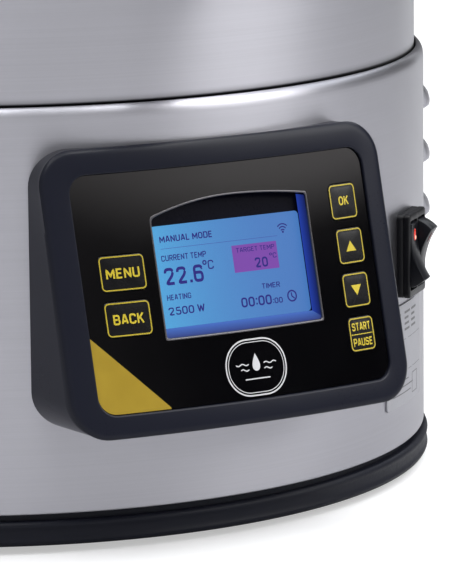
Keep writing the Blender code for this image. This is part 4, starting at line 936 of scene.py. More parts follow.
def build_boiler():
    """Boiler: outer wall, rolled rim, inner wall, round floor corner and floor, turned as one."""
    corners = [(0.0, FLOOR_Z), (0.1652, FLOOR_Z), (0.1652, 0.1508), (BOILER_R, 0.1508),
               (BOILER_R, 0.6450), (0.1698, 0.6450), (0.1700, RIM_Z), (0.1652, RIM_Z),
               (0.1652, 0.1652), (0.0, 0.1652)]
    line = rounded_line(corners, [0, 0.0002, 0.0002, 0.0002, 0.0014, 0.0016, 0.0020, 0.0010,
                                  0.0055, 0], 6)
    line = refined(line, 0.02)
    near_seam = np.linspace(SHELL_TOP - 0.0006, SHELL_TOP + 0.0046, 9)
    cut = np.argmax((line[:, 0] > 0.1660) & (line[:, 1] > SHELL_TOP + 0.005))
    line = np.concatenate([line[:cut], np.stack([np.full(9, BOILER_R), near_seam], 1), line[cut:]])
    line = line[np.r_[True, np.linalg.norm(np.diff(line, axis=0), axis=1) > 1e-6]]
    # Painted shade: the boiler wall is near-black just above the seam and fades out within 3 mm,
    # where the shell's lip shades it.
    dark = np.interp(line[:, 1] - SHELL_TOP, [-0.0006, 0.0007, 0.0014, 0.0030],
                     [1.0, 1.0, 0.30, 0.0])
    dark = dark * (line[:, 0] > 0.1662)
    wall = turned(line, closed=False)
    wall["shade"] = np.repeat(dark, len(wall["points"]) // len(line))
    piece("boiler_wall", wall, "base", "Boiler steel", "boiler")
    seam = np.stack([np.full(40, 0.0), np.linspace(0.1530, 0.6440, 40)], 1)
    place = lambda p, level: round_axis(p[:, 0], BOILER_R + level, p[:, 1], math.radians(180 - 14))
    bead = stroke(seam, 0.0026, place, -0.0002, 0.00018)
    piece("boiler_seam", bead, "base", "Polished steel", ())


def build_ring():
    """Base ring: a bead above, a hollow band and a bead below, turned as one; then the feet."""
    corners = [(0.1675, 0.0111), (0.1675, 0.0089), (0.1704, 0.0091), (0.1717, 0.0077),
               (0.1710, 0.0062), (0.1708, 0.0045), (0.1710, 0.0030), (0.1716, 0.0017),
               (0.1706, 0.0000), (0.1584, 0.0000), (0.1584, 0.0022), (0.1502, 0.0022),
               (0.1502, 0.0048), (0.1625, 0.0048), (0.1625, 0.0111)]
    line = rounded_line(corners, [0.0003, 0.0002, 0.0009, 0.0009, 0.0007, 0.001, 0.0007, 0.0006,
                                  0.0008, 0.0003, 0, 0.0003, 0.0003, 0, 0.0003], 4, closed=True)
    piece("ring_moulding", turned(line), "base", "Base moulding", "base_ring",
          sharp=30)
    for name in ("foot_front_right", "foot_back_right", "foot_back_left", "foot_front_left"):
        low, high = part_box(name)
        centre = (low + high) / 2
        section = rounded_line([(0.0, -0.0003), (0.0125, -0.0003), (0.0122, -0.0030),
                                (0.0085, -0.0030), (0.0075, -0.0022), (0.0, -0.0022)],
                               [0, 0.0003, 0.0007, 0.0003, 0.0003, 0], 3)
        foot = turned(section, closed=False, steps=32)
        piece(name + "_pad", moved(foot, Matrix.Translation((centre.x, centre.y, 0.0))), "base",
              "Foot rubber", name)


# ---- control panel ----
def build_panel_frame():
    """Housing and bezel: the panel's outline carried from shell to face, then rounded over."""
    steps = {"corner_steps": 12, "side_steps": 26}
    back = face_outline(BACK_BOX, 0.0, FACE_CORNER, **steps)
    back_in = face_outline(BACK_BOX, 0.0025, FACE_CORNER, **steps)
    front = face_outline(FACE_BOX, 0.0003, FACE_CORNER, **steps)
    front_in = face_outline(FACE_BOX, 0.0025, FACE_CORNER, **steps)
    root = SHELL_R + 0.0003
    seat = lambda line: np.stack([line[:, 0], -np.sqrt(root**2 - line[:, 0] ** 2), line[:, 1]], 1)
    lip = -0.0019
    start, end = seat(back), on_face(front, lip)
    t = np.linspace(0, 1, 9)[1:-1, None, None]
    sides = start + (end - start) * t
    loops = [start, *sides, on_face(front, lip - 0.0004), on_face(drawn_in(front, 0.0004), lip),
             on_face(front_in, lip), seat(back_in)]
    piece("housing_wall", ring(loops), "base", "Panel slate", "panel_housing",
          sharp=50)
    ledge = OVERLAY_OUT - 0.002 - 0.0003
    outer = lambda inset: face_outline(FACE_BOX, inset, FACE_CORNER, **steps)
    hole = lambda grow: face_outline(OVERLAY_BOX, -grow, OVERLAY_CORNER, **steps)
    rim = [(0.0060, -0.0017), (0.0004, -0.0017), (0.0, -0.00135), (0.00012, -0.00085),
           (0.0006, -0.00040), (0.0013, -0.00014), (0.0022, -0.00003), (0.0034, 0.0)]
    loops = [on_face(outer(inset), out) for inset, out in rim]
    lip = [(0.00095, 0.0), (0.0006, -0.00004), (0.00038, -0.0002), (0.0003, -0.0005),
           (0.0003, ledge),
           (-0.0025, ledge), (-0.0025, ledge - 0.0017)]
    loops += [on_face(hole(grow), out) for grow, out in lip]
    loops.append(on_face(outer(0.0060), ledge - 0.0017))
    piece("bezel_frame", ring(loops), "base", "Panel slate", "panel_bezel",
          sharp=55)


def overlay_distance(points):
    """Return the signed distance to the overlay: its outline less the window and the key holes."""
    inside = distance_box(points, OVERLAY_BOX, OVERLAY_CORNER)
    inside = np.maximum(inside, -distance_window(points))
    for left, right, low, high in KEYS.values():
        hole = (left, right, low - 0.0003, high + 0.0003)
        inside = np.maximum(inside, -distance_box(points, hole, 0.0021))
    return inside


def build_overlay():
    """Overlay: a gloss sheet with its holes, the yellow corner and the badge."""
    surface = sheet(overlay_distance, OVERLAY_BOX, 0.0006, OVERLAY_OUT)
    piece("overlay_sheet", surface, "base", "Overlay gloss", "panel_overlay",
          wall=0.0019)
    cut_from = np.array([-0.0604, 0.0798])
    along = np.array([-0.0326, 0.0531]) - cut_from
    across = np.array([-along[1], along[0]]) / np.linalg.norm(along)

    def corner(points):
        """Return the signed distance to the overlay's lower left corner, cut off by a slant."""
        slanted = (points - cut_from) @ across
        return np.maximum(distance_box(points, OVERLAY_BOX, OVERLAY_CORNER), slanted)

    triangle = sheet(corner, (-0.0604, -0.0320, 0.0531, 0.0800), 0.0007, OVERLAY_OUT + 0.00004)
    piece("overlay_corner", triangle, "base", "Corner yellow", (), wall=0.00006)
    low, high = OVERLAY_OUT + 0.00001, OVERLAY_OUT + 0.00005
    centre = np.array([0.0033, 0.0638])
    oval = lambda w, h: outline(centre[0] - w, centre[0] + w, centre[1] - h, centre[1] + h,
                                h * 0.96,
                                corner_steps=14, side_steps=4)
    parts = [band(oval(0.0128, 0.0100), 0.00052, on_face, low, high),
             band(oval(0.0117, 0.0089), 0.00026, on_face, low, high)]
    t = np.linspace(0, 2 * math.pi, 48, endpoint=False)
    drop = np.stack([0.0022 * np.sin(t) * np.sin(t / 2) ** 1.4, 0.0031 * np.cos(t)], 1)
    parts.append(plate(drop + centre + (0.0, 0.0018), on_face, low, high))
    for side in (-1, 1):
        for k, reach in enumerate((0.0062, 0.0044)):
            x = side * np.linspace(0.0032, reach + 0.0022, 14)
            wave = np.stack([centre[0] + x, centre[1] + 0.0012 - 0.0019 * k
                             + 0.0003 * np.sin(x * 1900)], 1)
            parts.append(stroke(wave, 0.00038, on_face, low, high))
    base = np.stack([centre[0] + np.linspace(-0.0052, 0.0052, 20),
                     np.full(20, centre[1] - 0.0040)], 1)
    parts.append(stroke(base, 0.00042, on_face, low, high))
    piece("overlay_badge", parts, "base", "Badge white", ())


def pillow(line, levels):
    """Shrink a closed (x, z) line towards its middle through (scale, out) levels: a domed cap."""
    middle = line.mean(0)
    return solid(np.stack([on_face(middle + (line - middle) * s, out) for s, out in levels]))


def build_keys():
    """Keys: domed gloss caps, each with its yellow outline and legend, riding on its own body."""
    shape = bpy.context.scene.brewer_shape
    top, crown = -0.0007, shape.key_crown
    width = shape.outline_width
    legends = {
        "key_menu": [("MENU", 0.0, 0.0, 0.0130, 0.0034)],
        "key_back": [("BACK", 0.0, 0.0, 0.0118, 0.0034)],
        "key_ok": [("OK", 0.0002, 0.0003, 0.0045, 0.0030)],
        "key_start_pause": [("START", 0.0, 0.0027, 0.0085, 0.0027),
                            ("PAUSE", 0.0, -0.0028, 0.0087, 0.0027)],
    }
    for name, (left, right, low, high) in KEYS.items():
        line = outline(left, right, low, high, 0.0019, corner_steps=6, side_steps=6)
        middle = line.mean(0)
        t = np.linspace(0.86, 0.0, 9)
        dome = [(s, top + crown * (1 - (s / 0.86) ** 2.6)) for s in t[1:-1]]
        levels = [(0.4, top - 0.0025), (0.97, top - 0.0025), (1.0, top - 0.0022),
                  (1.0, top - 0.0003),
                  (0.985, top - 0.00008), (0.955, top), (0.88, top - 0.00002)] + dome
        cap = pillow(line, levels)
        edge = band(drawn_in(line, 0.00030), width, on_face, top - 0.00005, top + 0.00006,
                    finish=2)
        parts = [cap, edge]
        half_w, half_h = (right - left) / 2, (high - low) / 2

        def on_cap(points, level, middle=middle, half_w=half_w, half_h=half_h):
            """Lay (x, z) points on the crowned top of the key's cap."""
            reach = np.maximum(np.abs(points[:, 0] - middle[0]) / half_w,
                               np.abs(points[:, 1] - middle[1]) / half_h)
            dome_out = top + crown * (1 - np.clip(reach / 0.86, 0, 1) ** 2.6)
            return on_face(points, dome_out + level)

        for words, dx, dz, wide, tall in legends.get(name, []):
            box = (middle[0] + dx - wide / 2, middle[0] + dx + wide / 2,
                   middle[1] + dz - tall / 2, middle[1] + dz + tall / 2)
            parts += lettering(words, box, on_cap, -0.00003, 0.00005, weight=1.30, finish=1)
        if name in ("key_up", "key_down"):
            sign = 1 if name == "key_up" else -1
            corners = np.array([(-0.0023, -0.0018 * sign), (0.0023, -0.0018 * sign),
                                (0.0, 0.0019 * sign)])
            arrow = refined(corners[::sign], 0.0006, closed=True) + middle
            parts.append(plate(arrow, on_cap, -0.00003, 0.00006, finish=1))
        if name == "key_start_pause":
            split = np.stack([middle[0] + np.linspace(-0.0049, 0.0049, 24),
                              np.full(24, middle[1])], 1)
            parts.append(stroke(split, 0.00028, on_cap, -0.00002, 0.00005, finish=1))
        piece(name + "_cap", parts, name, ["Key gloss", "Legend yellow", "Key outline"], name,
              sharp=35)


def build_display():
    """Display: lip, recess walls, dark mask, lit screen and its read-out."""
    edge = window_outline(0.0)
    rim = [(0.00055, -0.0002), (0.00055, 0.00016), (0.00040, 0.00028), (0.00005, 0.00024),
           (-0.00012, 0.0), (-0.00012, -0.0006), (0.00055, -0.0006)]
    lip = [on_face(window_outline(grow), OVERLAY_OUT + out) for grow, out in rim]
    piece("window_lip", ring(lip), "base", "Window lip", (), sharp=60)
    left, right, low, high = LIT_BOX
    foot = window_outline(0.0)
    foot = np.stack([np.clip(foot[:, 0], left - 0.0003, right + 0.0003),
                     np.maximum(foot[:, 1], low)], 1)
    share = np.linspace(0, 1, 7)
    levels = OVERLAY_OUT - 0.0006 + (SCREEN_OUT - OVERLAY_OUT + 0.0006) * share
    loops = [on_face(edge, out) * (1 - s) + on_face(foot, out, False) * s
             for s, out in zip(share, levels)]
    outer = [on_face(window_outline(0.0016), SCREEN_OUT, False),
             on_face(window_outline(0.0016), OVERLAY_OUT - 0.0024)]
    # The Shade attribute runs from 0 at the window to 1 at the screen and sets the painted glow of
    # the right and lower walls.
    walls = ring(loops + outer, shade=np.concatenate([share, [1.0, 0.0]])[:, None])
    faces = walls["faces"]
    middle = walls["points"][faces].mean(1)
    inside = faces.max(1) < len(edge) * len(loops)
    low_wall = inside & (middle[:, 2] < low - 0.00001)
    right_wall = inside & (middle[:, 0] > right + 0.00001) & (middle[:, 2] < 0.1165)
    parts = []
    for index, mask in enumerate((~(low_wall | right_wall), right_wall & ~low_wall, low_wall)):
        parts.append({**walls, "faces": faces[mask], "finish": index})
    piece("display_recess", parts, "base", ["Display frame", "Display glow", "Display edge"],
          "lcd_surround", sharp=60)
    flat = lambda p, out: on_face(p, out, False)
    body = plate(outline(-0.0345, 0.0385, 0.0740, 0.1265, 0.0008), flat, SCREEN_OUT - 0.0037,
                 SCREEN_OUT - 0.0002)
    piece("display_mask", body, "base", "Display frame", "lcd_module")
    lit = plate(outline(*LIT_BOX, (0.0014, 0.0006, 0.0008, 0.0014)), flat, SCREEN_OUT - 0.00018,
                SCREEN_OUT - 0.00006)
    piece("display_lit", lit, "base", "Display lit", ())
    low, high = SCREEN_OUT - 0.00005, SCREEN_OUT - 0.00002
    near, far = SCREEN_OUT - 0.00004, SCREEN_OUT + 0.00001
    words = [
        ("MANUAL MODE", (-25.9, -3.9, 109.2, 111.4), 1.25),
        ("CURRENT TEMP", (-26.2, -7.6, 102.7, 104.7), 1.15),
        ("22.6", (-26.0, -9.8, 94.4, 100.2), 1.28),
        ("°C", (-9.6, -5.1, 98.2, 101.5), 1.00),
        ("HEATING", (-26.1, -16.1, 89.1, 91.0), 1.15),
        ("2500 W", (-26.2, -11.2, 83.9, 86.6), 1.18),
        ("TIMER", (13.6, 21.3, 89.2, 91.0), 1.10),
        ("00:00", (4.2, 17.0, 83.55, 86.9), 1.25),
        (":00", (17.5, 21.6, 83.6, 85.55), 1.20),
        ("TARGET TEMP", (4.9, 21.2, 102.7, 104.3), 0.95),
        ("20", (12.2, 17.6, 96.8, 100.2), 1.30),
        ("°C", (18.6, 21.6, 99.5, 101.35), 0.95),
    ]
    parts = [line for text, box, weight in words
             for line in lettering(text, tuple(v * MM for v in box), flat, near, far, weight)]
    block = outline(0.0033, 0.0222, 0.0958, 0.1053, 0.0001, corner_steps=1, side_steps=1)
    parts.append(plate(block, flat, low, high, finish=2))
    rule = np.array([(-0.0259, 0.1070), (0.0231, 0.1070)])
    parts.append(stroke(rule, 0.00014, flat, near, high, finish=1))
    arcs = np.radians(np.linspace(45, 135, 16))
    for reach in (0.0011, 0.0021, 0.0031):
        bow = np.stack([0.0257 + reach * np.cos(arcs) * 0.92, 0.10785 + reach * np.sin(arcs)], 1)
        parts.append(stroke(bow, 0.00042, flat, near, high))
    dot = outline(0.0253, 0.0261, 0.1077, 0.1085, 0.00038, corner_steps=3, side_steps=1)
    parts.append(plate(dot, flat, near, high))
    round_line = outline(0.0237, 0.0278, 0.0834, 0.0876, 0.00204, corner_steps=6, side_steps=1)
    parts.append(band(round_line, 0.00055, flat, near, high))
    hands = np.array([(0.02560, 0.08670), (0.02565, 0.08545), (0.02672, 0.08452)])
    parts.append(stroke(hands, 0.00045, flat, near, high))
    piece("display_readout", parts, "base", ["Display ink", "Display faint", "Display block"], ())


# ---- twin rocker switch ----
def at_switch(points, out):
    """Place (across, height) points on the switch, standing out from the brewer's axis."""
    return round_axis(points[..., 0], out, points[..., 1], SWITCH_TURN)


def build_switch():
    """Switch: spacer block, flange halves with their wells, and two rockers with lenses."""
    z0, z1 = SWITCH_Z - 0.0161, SWITCH_Z + 0.0161
    block = outline(-SWITCH_HALF, SWITCH_HALF, z0, z1, 0.0022, corner_steps=6, side_steps=8)
    seat = lambda p: at_switch(p, np.sqrt((SHELL_R - 0.0004) ** 2 - p[:, 0] ** 2))
    back = [seat(block), at_switch(block, 0.1717), at_switch(drawn_in(block, 0.0004), 0.1722)]
    inner = outline(-0.0104, 0.0104, SWITCH_Z - 0.0147, SWITCH_Z + 0.0147, 0.001, corner_steps=6,
                    side_steps=8)
    back += [at_switch(inner, 0.1722), seat(inner)]
    piece("switch_spacer", ring(back), "base", "Switch moulding", "switch_backing",
          sharp=45)
    parts = []
    for side in (-1, 1):
        edges = (-SWITCH_HALF, 0.0) if side < 0 else (0.0, SWITCH_HALF)
        radii = np.array([0.0001, 0.0018, 0.0018, 0.0001] if side < 0
                         else [0.0018, 0.0001, 0.0001, 0.0018])

        def half(inset, edges=edges, radii=radii, side=side):
            """Return one half of the flange's outline, drawn in by an inset on its outer sides."""
            left = edges[0] + (inset if side < 0 else 0.0)
            right = edges[1] - (inset if side > 0 else 0.0)
            return outline(left, right, z0 + inset, z1 - inset, np.maximum(radii - inset, 0.0001),
                           corner_steps=6, side_steps=8)

        centre = side * ROCKER_SIDE
        well = lambda grow: outline(centre - 0.0043 - grow, centre + 0.0043 + grow,
                                    SWITCH_Z - 0.0132 - grow, SWITCH_Z + 0.0132 + grow,
                                    0.0006 + max(grow, 0.0), corner_steps=6, side_steps=8)
        rim = [(0.0, 0.1724), (0.0, 0.1740), (0.00015, 0.17435), (0.0005, SWITCH_OUT)]
        barrel = [(0.0002, SWITCH_OUT), (0.0, 0.1743), (0.0, 0.1570), (0.0004, 0.1570),
                  (0.0004, 0.1724)]
        parts.append(ring([at_switch(half(inset), out) for inset, out in rim]
                          + [at_switch(well(grow), out) for grow, out in barrel]))
    piece("switch_flange", parts, "base", "Switch moulding", "switch_frame",
          sharp=40)
    for name, side in (("rocker_power", -1), ("rocker_pump", 1)):
        build_rocker(name, side)


def build_rocker(name, side):
    """Rocker: two arcs about the pivot, joined in front by the hollow o = c + k h^2."""
    radius, valley, tip = 0.0129, 0.0052, math.radians(34)
    rise, reach = radius * math.sin(tip), radius * math.cos(tip)
    down = np.linspace(tip, math.radians(-10), 12)
    end = np.stack([radius * np.cos(down), radius * np.sin(down)], 1)
    h = np.linspace(-reach, reach, 33)[1:-1]
    front = np.stack([h, valley + (rise - valley) * (h / reach) ** 2], 1)
    section = np.concatenate([front, end, (end * (-1, 1))[::-1]])
    tilt = side * ROCKER_TILT

    def place(points, across):
        """Tilt (height, out) points about the pivot and set them beside the switch's middle."""
        height = points[:, 0] * math.cos(tilt) - points[:, 1] * math.sin(tilt)
        out = points[:, 0] * math.sin(tilt) + points[:, 1] * math.cos(tilt)
        return round_axis(across + side * ROCKER_SIDE, ROCKER_PIVOT + out, SWITCH_Z + height,
                          SWITCH_TURN)

    half = 0.00415
    levels = ((-half, 0.0005), (-half + 0.00015, 0.00015), (-half + 0.0005, 0.0),
              (half - 0.0005, 0.0), (half - 0.00015, 0.00015), (half, 0.0005))
    loops = [place(drawn_in(section, inset), across) for across, inset in levels]
    piece(name + "_cap", solid(np.stack(loops)), name, "Rocker moulding", name,
          sharp=32)
    a = np.linspace(0, 2 * math.pi, 28, endpoint=False)

    def oval(middle, tall, wide, levels, finish=0):
        """Return an oval cap standing on the hollow, through (scale, out) levels."""
        loops = []
        for s, out in levels:
            along = middle + tall * s * np.cos(a)
            level = valley + (rise - valley) * (along / reach) ** 2 + out
            loops.append(place(np.stack([along, level], 1), wide * s * np.sin(a)))
        return solid(np.stack(loops), finish)

    lens_at = 0.0066
    parts = [oval(lens_at, 0.0023, 0.0009,
                  ((1.0, -0.0008), (1.0, 0.00005), (0.86, 0.00022), (0.6, 0.00032),
                   (0.3, 0.00038)))]
    lit = name == "rocker_power"
    if lit:
        parts.append(oval(lens_at - 0.0011, 0.0007, 0.00042,
                          ((1.0, 0.0002), (1.0, 0.00042), (0.5, 0.00050)), finish=1))
    piece(name + "_window", parts, name, ["Lens lit" if lit else "Lens dark", "Lens spot"],
          name + "_lens")


def build_label():
    """Rating label: a thin foil on the shell, with a ruled box, short marks and a few blocks."""
    start, end, low, high = math.radians(32.5), math.radians(47), 0.027, 0.066
    radius = SHELL_R + 0.0005
    half = (end - start) / 2 * radius
    turn = (start + end) / 2

    def place(points, out):
        """Bend (across, height) points round the shell, standing out from it."""
        angle = turn + points[..., 0] / radius
        r = radius + out
        return np.stack(np.broadcast_arrays(r * np.sin(angle), -r * np.cos(angle), points[..., 1]),
                        -1)

    line = outline(-half, half, low, high, 0.0015, corner_steps=5, side_steps=10)
    piece("label_foil", plate(line, place, -0.00045, 0.0001, rings=6), "base", "Label foil",
          "rating_label")
    bottom, top = 0.00009, 0.00014
    parts = []
    bar = lambda x0, x1, z, w: stroke(np.stack([np.linspace(x0, x1, 6), np.full(6, z)], 1), w,
                                              place, bottom, top)
    for z in (0.0522, 0.0400):
        parts.append(bar(-half + 0.002, half - 0.002, z, 0.00022))
    for row in range(4):
        for left, right in ((-0.0165, -0.0125), (-0.0115, -0.0075), (-0.003, 0.004),
                            (0.006, 0.013)):
            z = 0.0625 - 0.0022 * row
            parts.append(bar(left, right - 0.0007 * ((row * 3) % 4), z, 0.0009))
    for row in range(3):
        parts.append(bar(-0.016, 0.002 + 0.003 * ((row * 5) % 3), 0.0365 - 0.0024 * row, 0.00045))
    box = outline(0.0070, 0.0150, 0.0295, 0.0375, 0.0004, corner_steps=2, side_steps=2)
    parts.append(band(box, 0.0003, place, bottom, top))
    piece("label_marks", parts, "base", "Label ink", ())


# ---- fittings ----
def facing(azimuth, height=0.0):
    """Return the matrix that lays a turned piece's axis outwards at an azimuth and a height."""
    return (Matrix.Translation((0.0, 0.0, height)) @ Matrix.Rotation(azimuth, 4, "Z")
            @ Matrix.Rotation(math.pi / 2, 4, "X"))


def hexagon(radius, rounding, steps, spacing, start=0):
    """Return a rounded hexagon's points, its first corner at a start angle in degrees."""
    a = np.radians(np.arange(6) * 60 + start)
    corners = np.stack([radius * np.cos(a), radius * np.sin(a)], 1)
    return refined(rounded_line(corners, rounding, steps, closed=True), spacing, closed=True)


def ribbed(line, count, depth, low, high, steps=96):
    """Turn a line, its radius between two heights cut by count grooves: r (1 - depth |cos|^8)."""
    line = np.asarray(line, float)
    a = np.linspace(0, 2 * math.pi, steps, endpoint=False)
    r, h = line[:, :1], line[:, 1:]
    inside = ((h >= low) & (h <= high)).astype(float)
    r = r * (1 - depth * inside * np.abs(np.cos(count * a / 2)) ** 8)
    points = np.stack(np.broadcast_arrays(r * np.sin(a), -r * np.cos(a), h), -1)
    return grid(points, close_rows=True, close_columns=True)


def build_gland():
    """Cord gland at the back: its flanged body and the ribbed, domed nut."""
    body = rounded_line([(0.0055, 0.1830), (0.0080, 0.1830), (0.0080, 0.1765), (0.0110, 0.1765),
                         (0.0110, 0.1705), (0.0078, 0.1705), (0.0078, 0.1560), (0.0055, 0.1560)],
                        0.0004, 3, closed=True)
    nut = rounded_line([(0.0055, 0.1950), (0.0072, 0.1950), (0.0098, 0.1912), (0.0104, 0.1880),
                        (0.0104, 0.1768), (0.0083, 0.1768), (0.0083, 0.1835), (0.0055, 0.1835)],
                       [0.0005, 0.0008, 0.0012, 0.0012, 0.0005, 0.0003, 0.0003, 0.0003], 4,
                       closed=True)
    nut = refined(nut, 0.002, closed=True)
    place = facing(GLAND_TURN, GLAND_Z)
    piece("gland_body", moved(turned(body, steps=64), place), "base", "Gland nylon", "cable_gland")
    piece("gland_cap", moved(ribbed(nut, 12, 0.055, 0.1775, 0.1895), place), "base", "Gland nylon",
          "gland_nut", sharp=50)


def build_tap():
    """Ball tap: turned body with its barb, collar and stem, ball, lever and rubber sleeve."""
    place = facing(0.0, TAP_Z)
    a = np.radians(np.linspace(-54, 54, 9))
    cavity = np.stack([0.0104 * np.cos(a), TAP_BALL + 0.0104 * np.sin(a)], 1)
    body = rounded_line(
        [(0.0060, 0.2420), (0.0072, 0.2420), (0.0088, 0.2362), (0.0078, 0.2358), (0.0090, 0.2302),
         (0.0080, 0.2298), (0.0080, 0.2160), (0.0110, 0.2160), (0.0140, 0.2085), (0.0140, 0.1745),
         (0.0165, 0.1745), (0.0165, 0.1672), (0.0096, 0.1672), (0.0096, 0.1560), (0.0060, 0.1560)],
        [0.0003, 0.0004, 0.0003, 0.0001, 0.0003, 0.0001, 0.0008, 0.0006, 0.0015, 0.0006, 0.0006,
         0.0005, 0.0002, 0.0003, 0.0003], 3, closed=True)
    body = np.concatenate([body, cavity])
    collar = turned(rounded_line([(0.0042, 0.0112), (0.0082, 0.0112), (0.0082, 0.0190),
                                  (0.0042, 0.0190)], [0, 0, 0.0008, 0.0003], 3, closed=True),
                    steps=48)
    collar = moved(collar, Matrix.Translation((0.0, -TAP_BALL, TAP_Z)))
    at_tap = lambda p, out: round_axis(p[:, 0], out, TAP_Z + p[:, 1], 0.0)
    flats = plate(hexagon(0.0150, 0.0012, 3, 0.003), at_tap, 0.2020, 0.2080, edge=0.0006)
    piece("tap_housing", [moved(turned(body, steps=96), place), collar, flats], "base",
          "Polished steel", "tap_body", sharp=35)
    t = np.linspace(-90, 90, 25)
    ball = np.stack([0.0098 * np.cos(np.radians(t)), 0.0098 * np.sin(np.radians(t))], 1)
    ball[0, 0] = ball[-1, 0] = 0.0
    stem = rounded_line([(0.0, 0.0050), (0.0038, 0.0050), (0.0038, 0.0245), (0.0, 0.0245)],
                        [0, 0, 0.0006, 0], 3)
    nut = hexagon(0.0060, 0.0006, 2, 0.002, 30)
    lift = Matrix.Translation((0.0, -TAP_BALL, TAP_Z))
    nut_at = lambda p, z: np.stack([p[:, 0], p[:, 1] - TAP_BALL, np.full(len(p), TAP_Z + z)], 1)
    piece("tap_spindle", [moved(turned(ball, closed=False, steps=48), lift),
                          moved(turned(stem, closed=False, steps=32), lift),
                          plate(nut, nut_at, 0.0215, 0.0240, edge=0.0004)], "tap_handle",
          "Polished steel", "tap_ball")
    top = TAP_Z + 0.0192
    blade = outline(-0.085, 0.009, -0.008, 0.008, 0.0075, corner_steps=8, side_steps=10)
    at_lever = lambda p, z: np.stack([p[:, 0], p[:, 1] - TAP_BALL, np.full(len(p), top + z)], 1)
    piece("tap_blade", plate(blade, at_lever, 0.0, 0.0022, edge=0.0004, rings=6), "tap_handle",
          "Polished steel", "tap_lever")
    s = np.linspace(0.0, 1.0, 41)
    grip_x = -0.0345 - 0.0557 * s
    swell = 1 - 0.10 * np.cos(s * math.pi * 10) ** 2
    ends = np.clip(np.minimum(s, 1 - s) / 0.06, 0, 1) ** 0.5
    around = outline(-1.0, 1.0, -1.0, 1.0, 0.8, corner_steps=6, side_steps=4)
    loops = np.stack([np.stack([np.full(len(around), x), around[:, 0] * 0.0105 * w * e - TAP_BALL,
                                top + 0.0011 + around[:, 1] * 0.0030 * max(e, 0.3)], 1)
                      for x, w, e in zip(grip_x, swell, np.maximum(ends, 0.45))])
    piece("tap_sleeve", solid(loops), "tap_handle", "Sleeve rubber", "tap_lever_sleeve")


def build_handles():
    """Side handles: an oval bar carried round two bends, ending in pads that fit the boiler."""
    for name, turn in (("handle_right", math.pi / 2), ("handle_left", -math.pi / 2)):
        corners = [(-HANDLE_HALF, 0.1690), (-HANDLE_HALF, 0.2035), (HANDLE_HALF, 0.2035),
                   (HANDLE_HALF, 0.1690)]
        path = refined(rounded_line(corners, [0, 0.022, 0.022, 0], 12), 0.004)
        spot = round_axis(path[:, 0], path[:, 1], HANDLE_Z, turn)
        swell = 0.0062 + 0.0013 * np.clip(1 - (path[:, 0] / 0.045) ** 4, 0, 1)
        bar = swept(spot, swell, (0, 0, 1), sides=28, flat=1.12)
        parts = [bar]
        for side in (-1, 1):
            at = side * HANDLE_HALF
            pad = outline(at - 0.013, at + 0.013, HANDLE_Z - 0.016, HANDLE_Z + 0.016, 0.006,
                          corner_steps=8, side_steps=6)
            rest = lambda p: round_axis(p[:, 0], np.sqrt((BOILER_R + 0.0003) ** 2 - p[:, 0] ** 2),
                                        p[:, 1], turn)
            middle = np.array([at, HANDLE_Z])
            shrink = lambda s: middle + (pad - middle) * s
            rise = [(1.0, 0.1680), (0.985, 0.1692), (0.93, 0.1700), (0.80, 0.1708), (0.66, 0.1722),
                    (0.56, 0.1752), (0.50, 0.1800)]
            loops = [rest(shrink(0.4)), rest(shrink(0.97)), rest(pad)]
            loops += [round_axis(shrink(s)[:, 0], out, shrink(s)[:, 1], turn) for s, out in rise]
            parts.append(solid(np.stack(loops)))
            for dz in (-0.0105, 0.0105):
                screw = turned(rounded_line([(0.0, 0.1700), (0.0026, 0.1700), (0.0026, 0.1716),
                                             (0.0012, 0.1722), (0.0, 0.1722)],
                                            [0, 0, 0.0006, 0.0004, 0], 3), closed=False, steps=20,
                               finish=1)
                offset = round_axis(at, 0.0, 0.0, turn)
                parts.append(moved(moved(screw, facing(turn, HANDLE_Z + dz)),
                                   Matrix.Translation(Vector(offset.tolist()))))
        piece(name + "_grip", parts, "base", ["Handle moulding", "Polished steel"], name)


def glass_top(radius):
    """Return the lid glass's height at a radius: edge + rise (1 - (r / R)^2)."""
    return 0.6542 + 0.0262 * (1 - (radius / 0.170) ** 2)


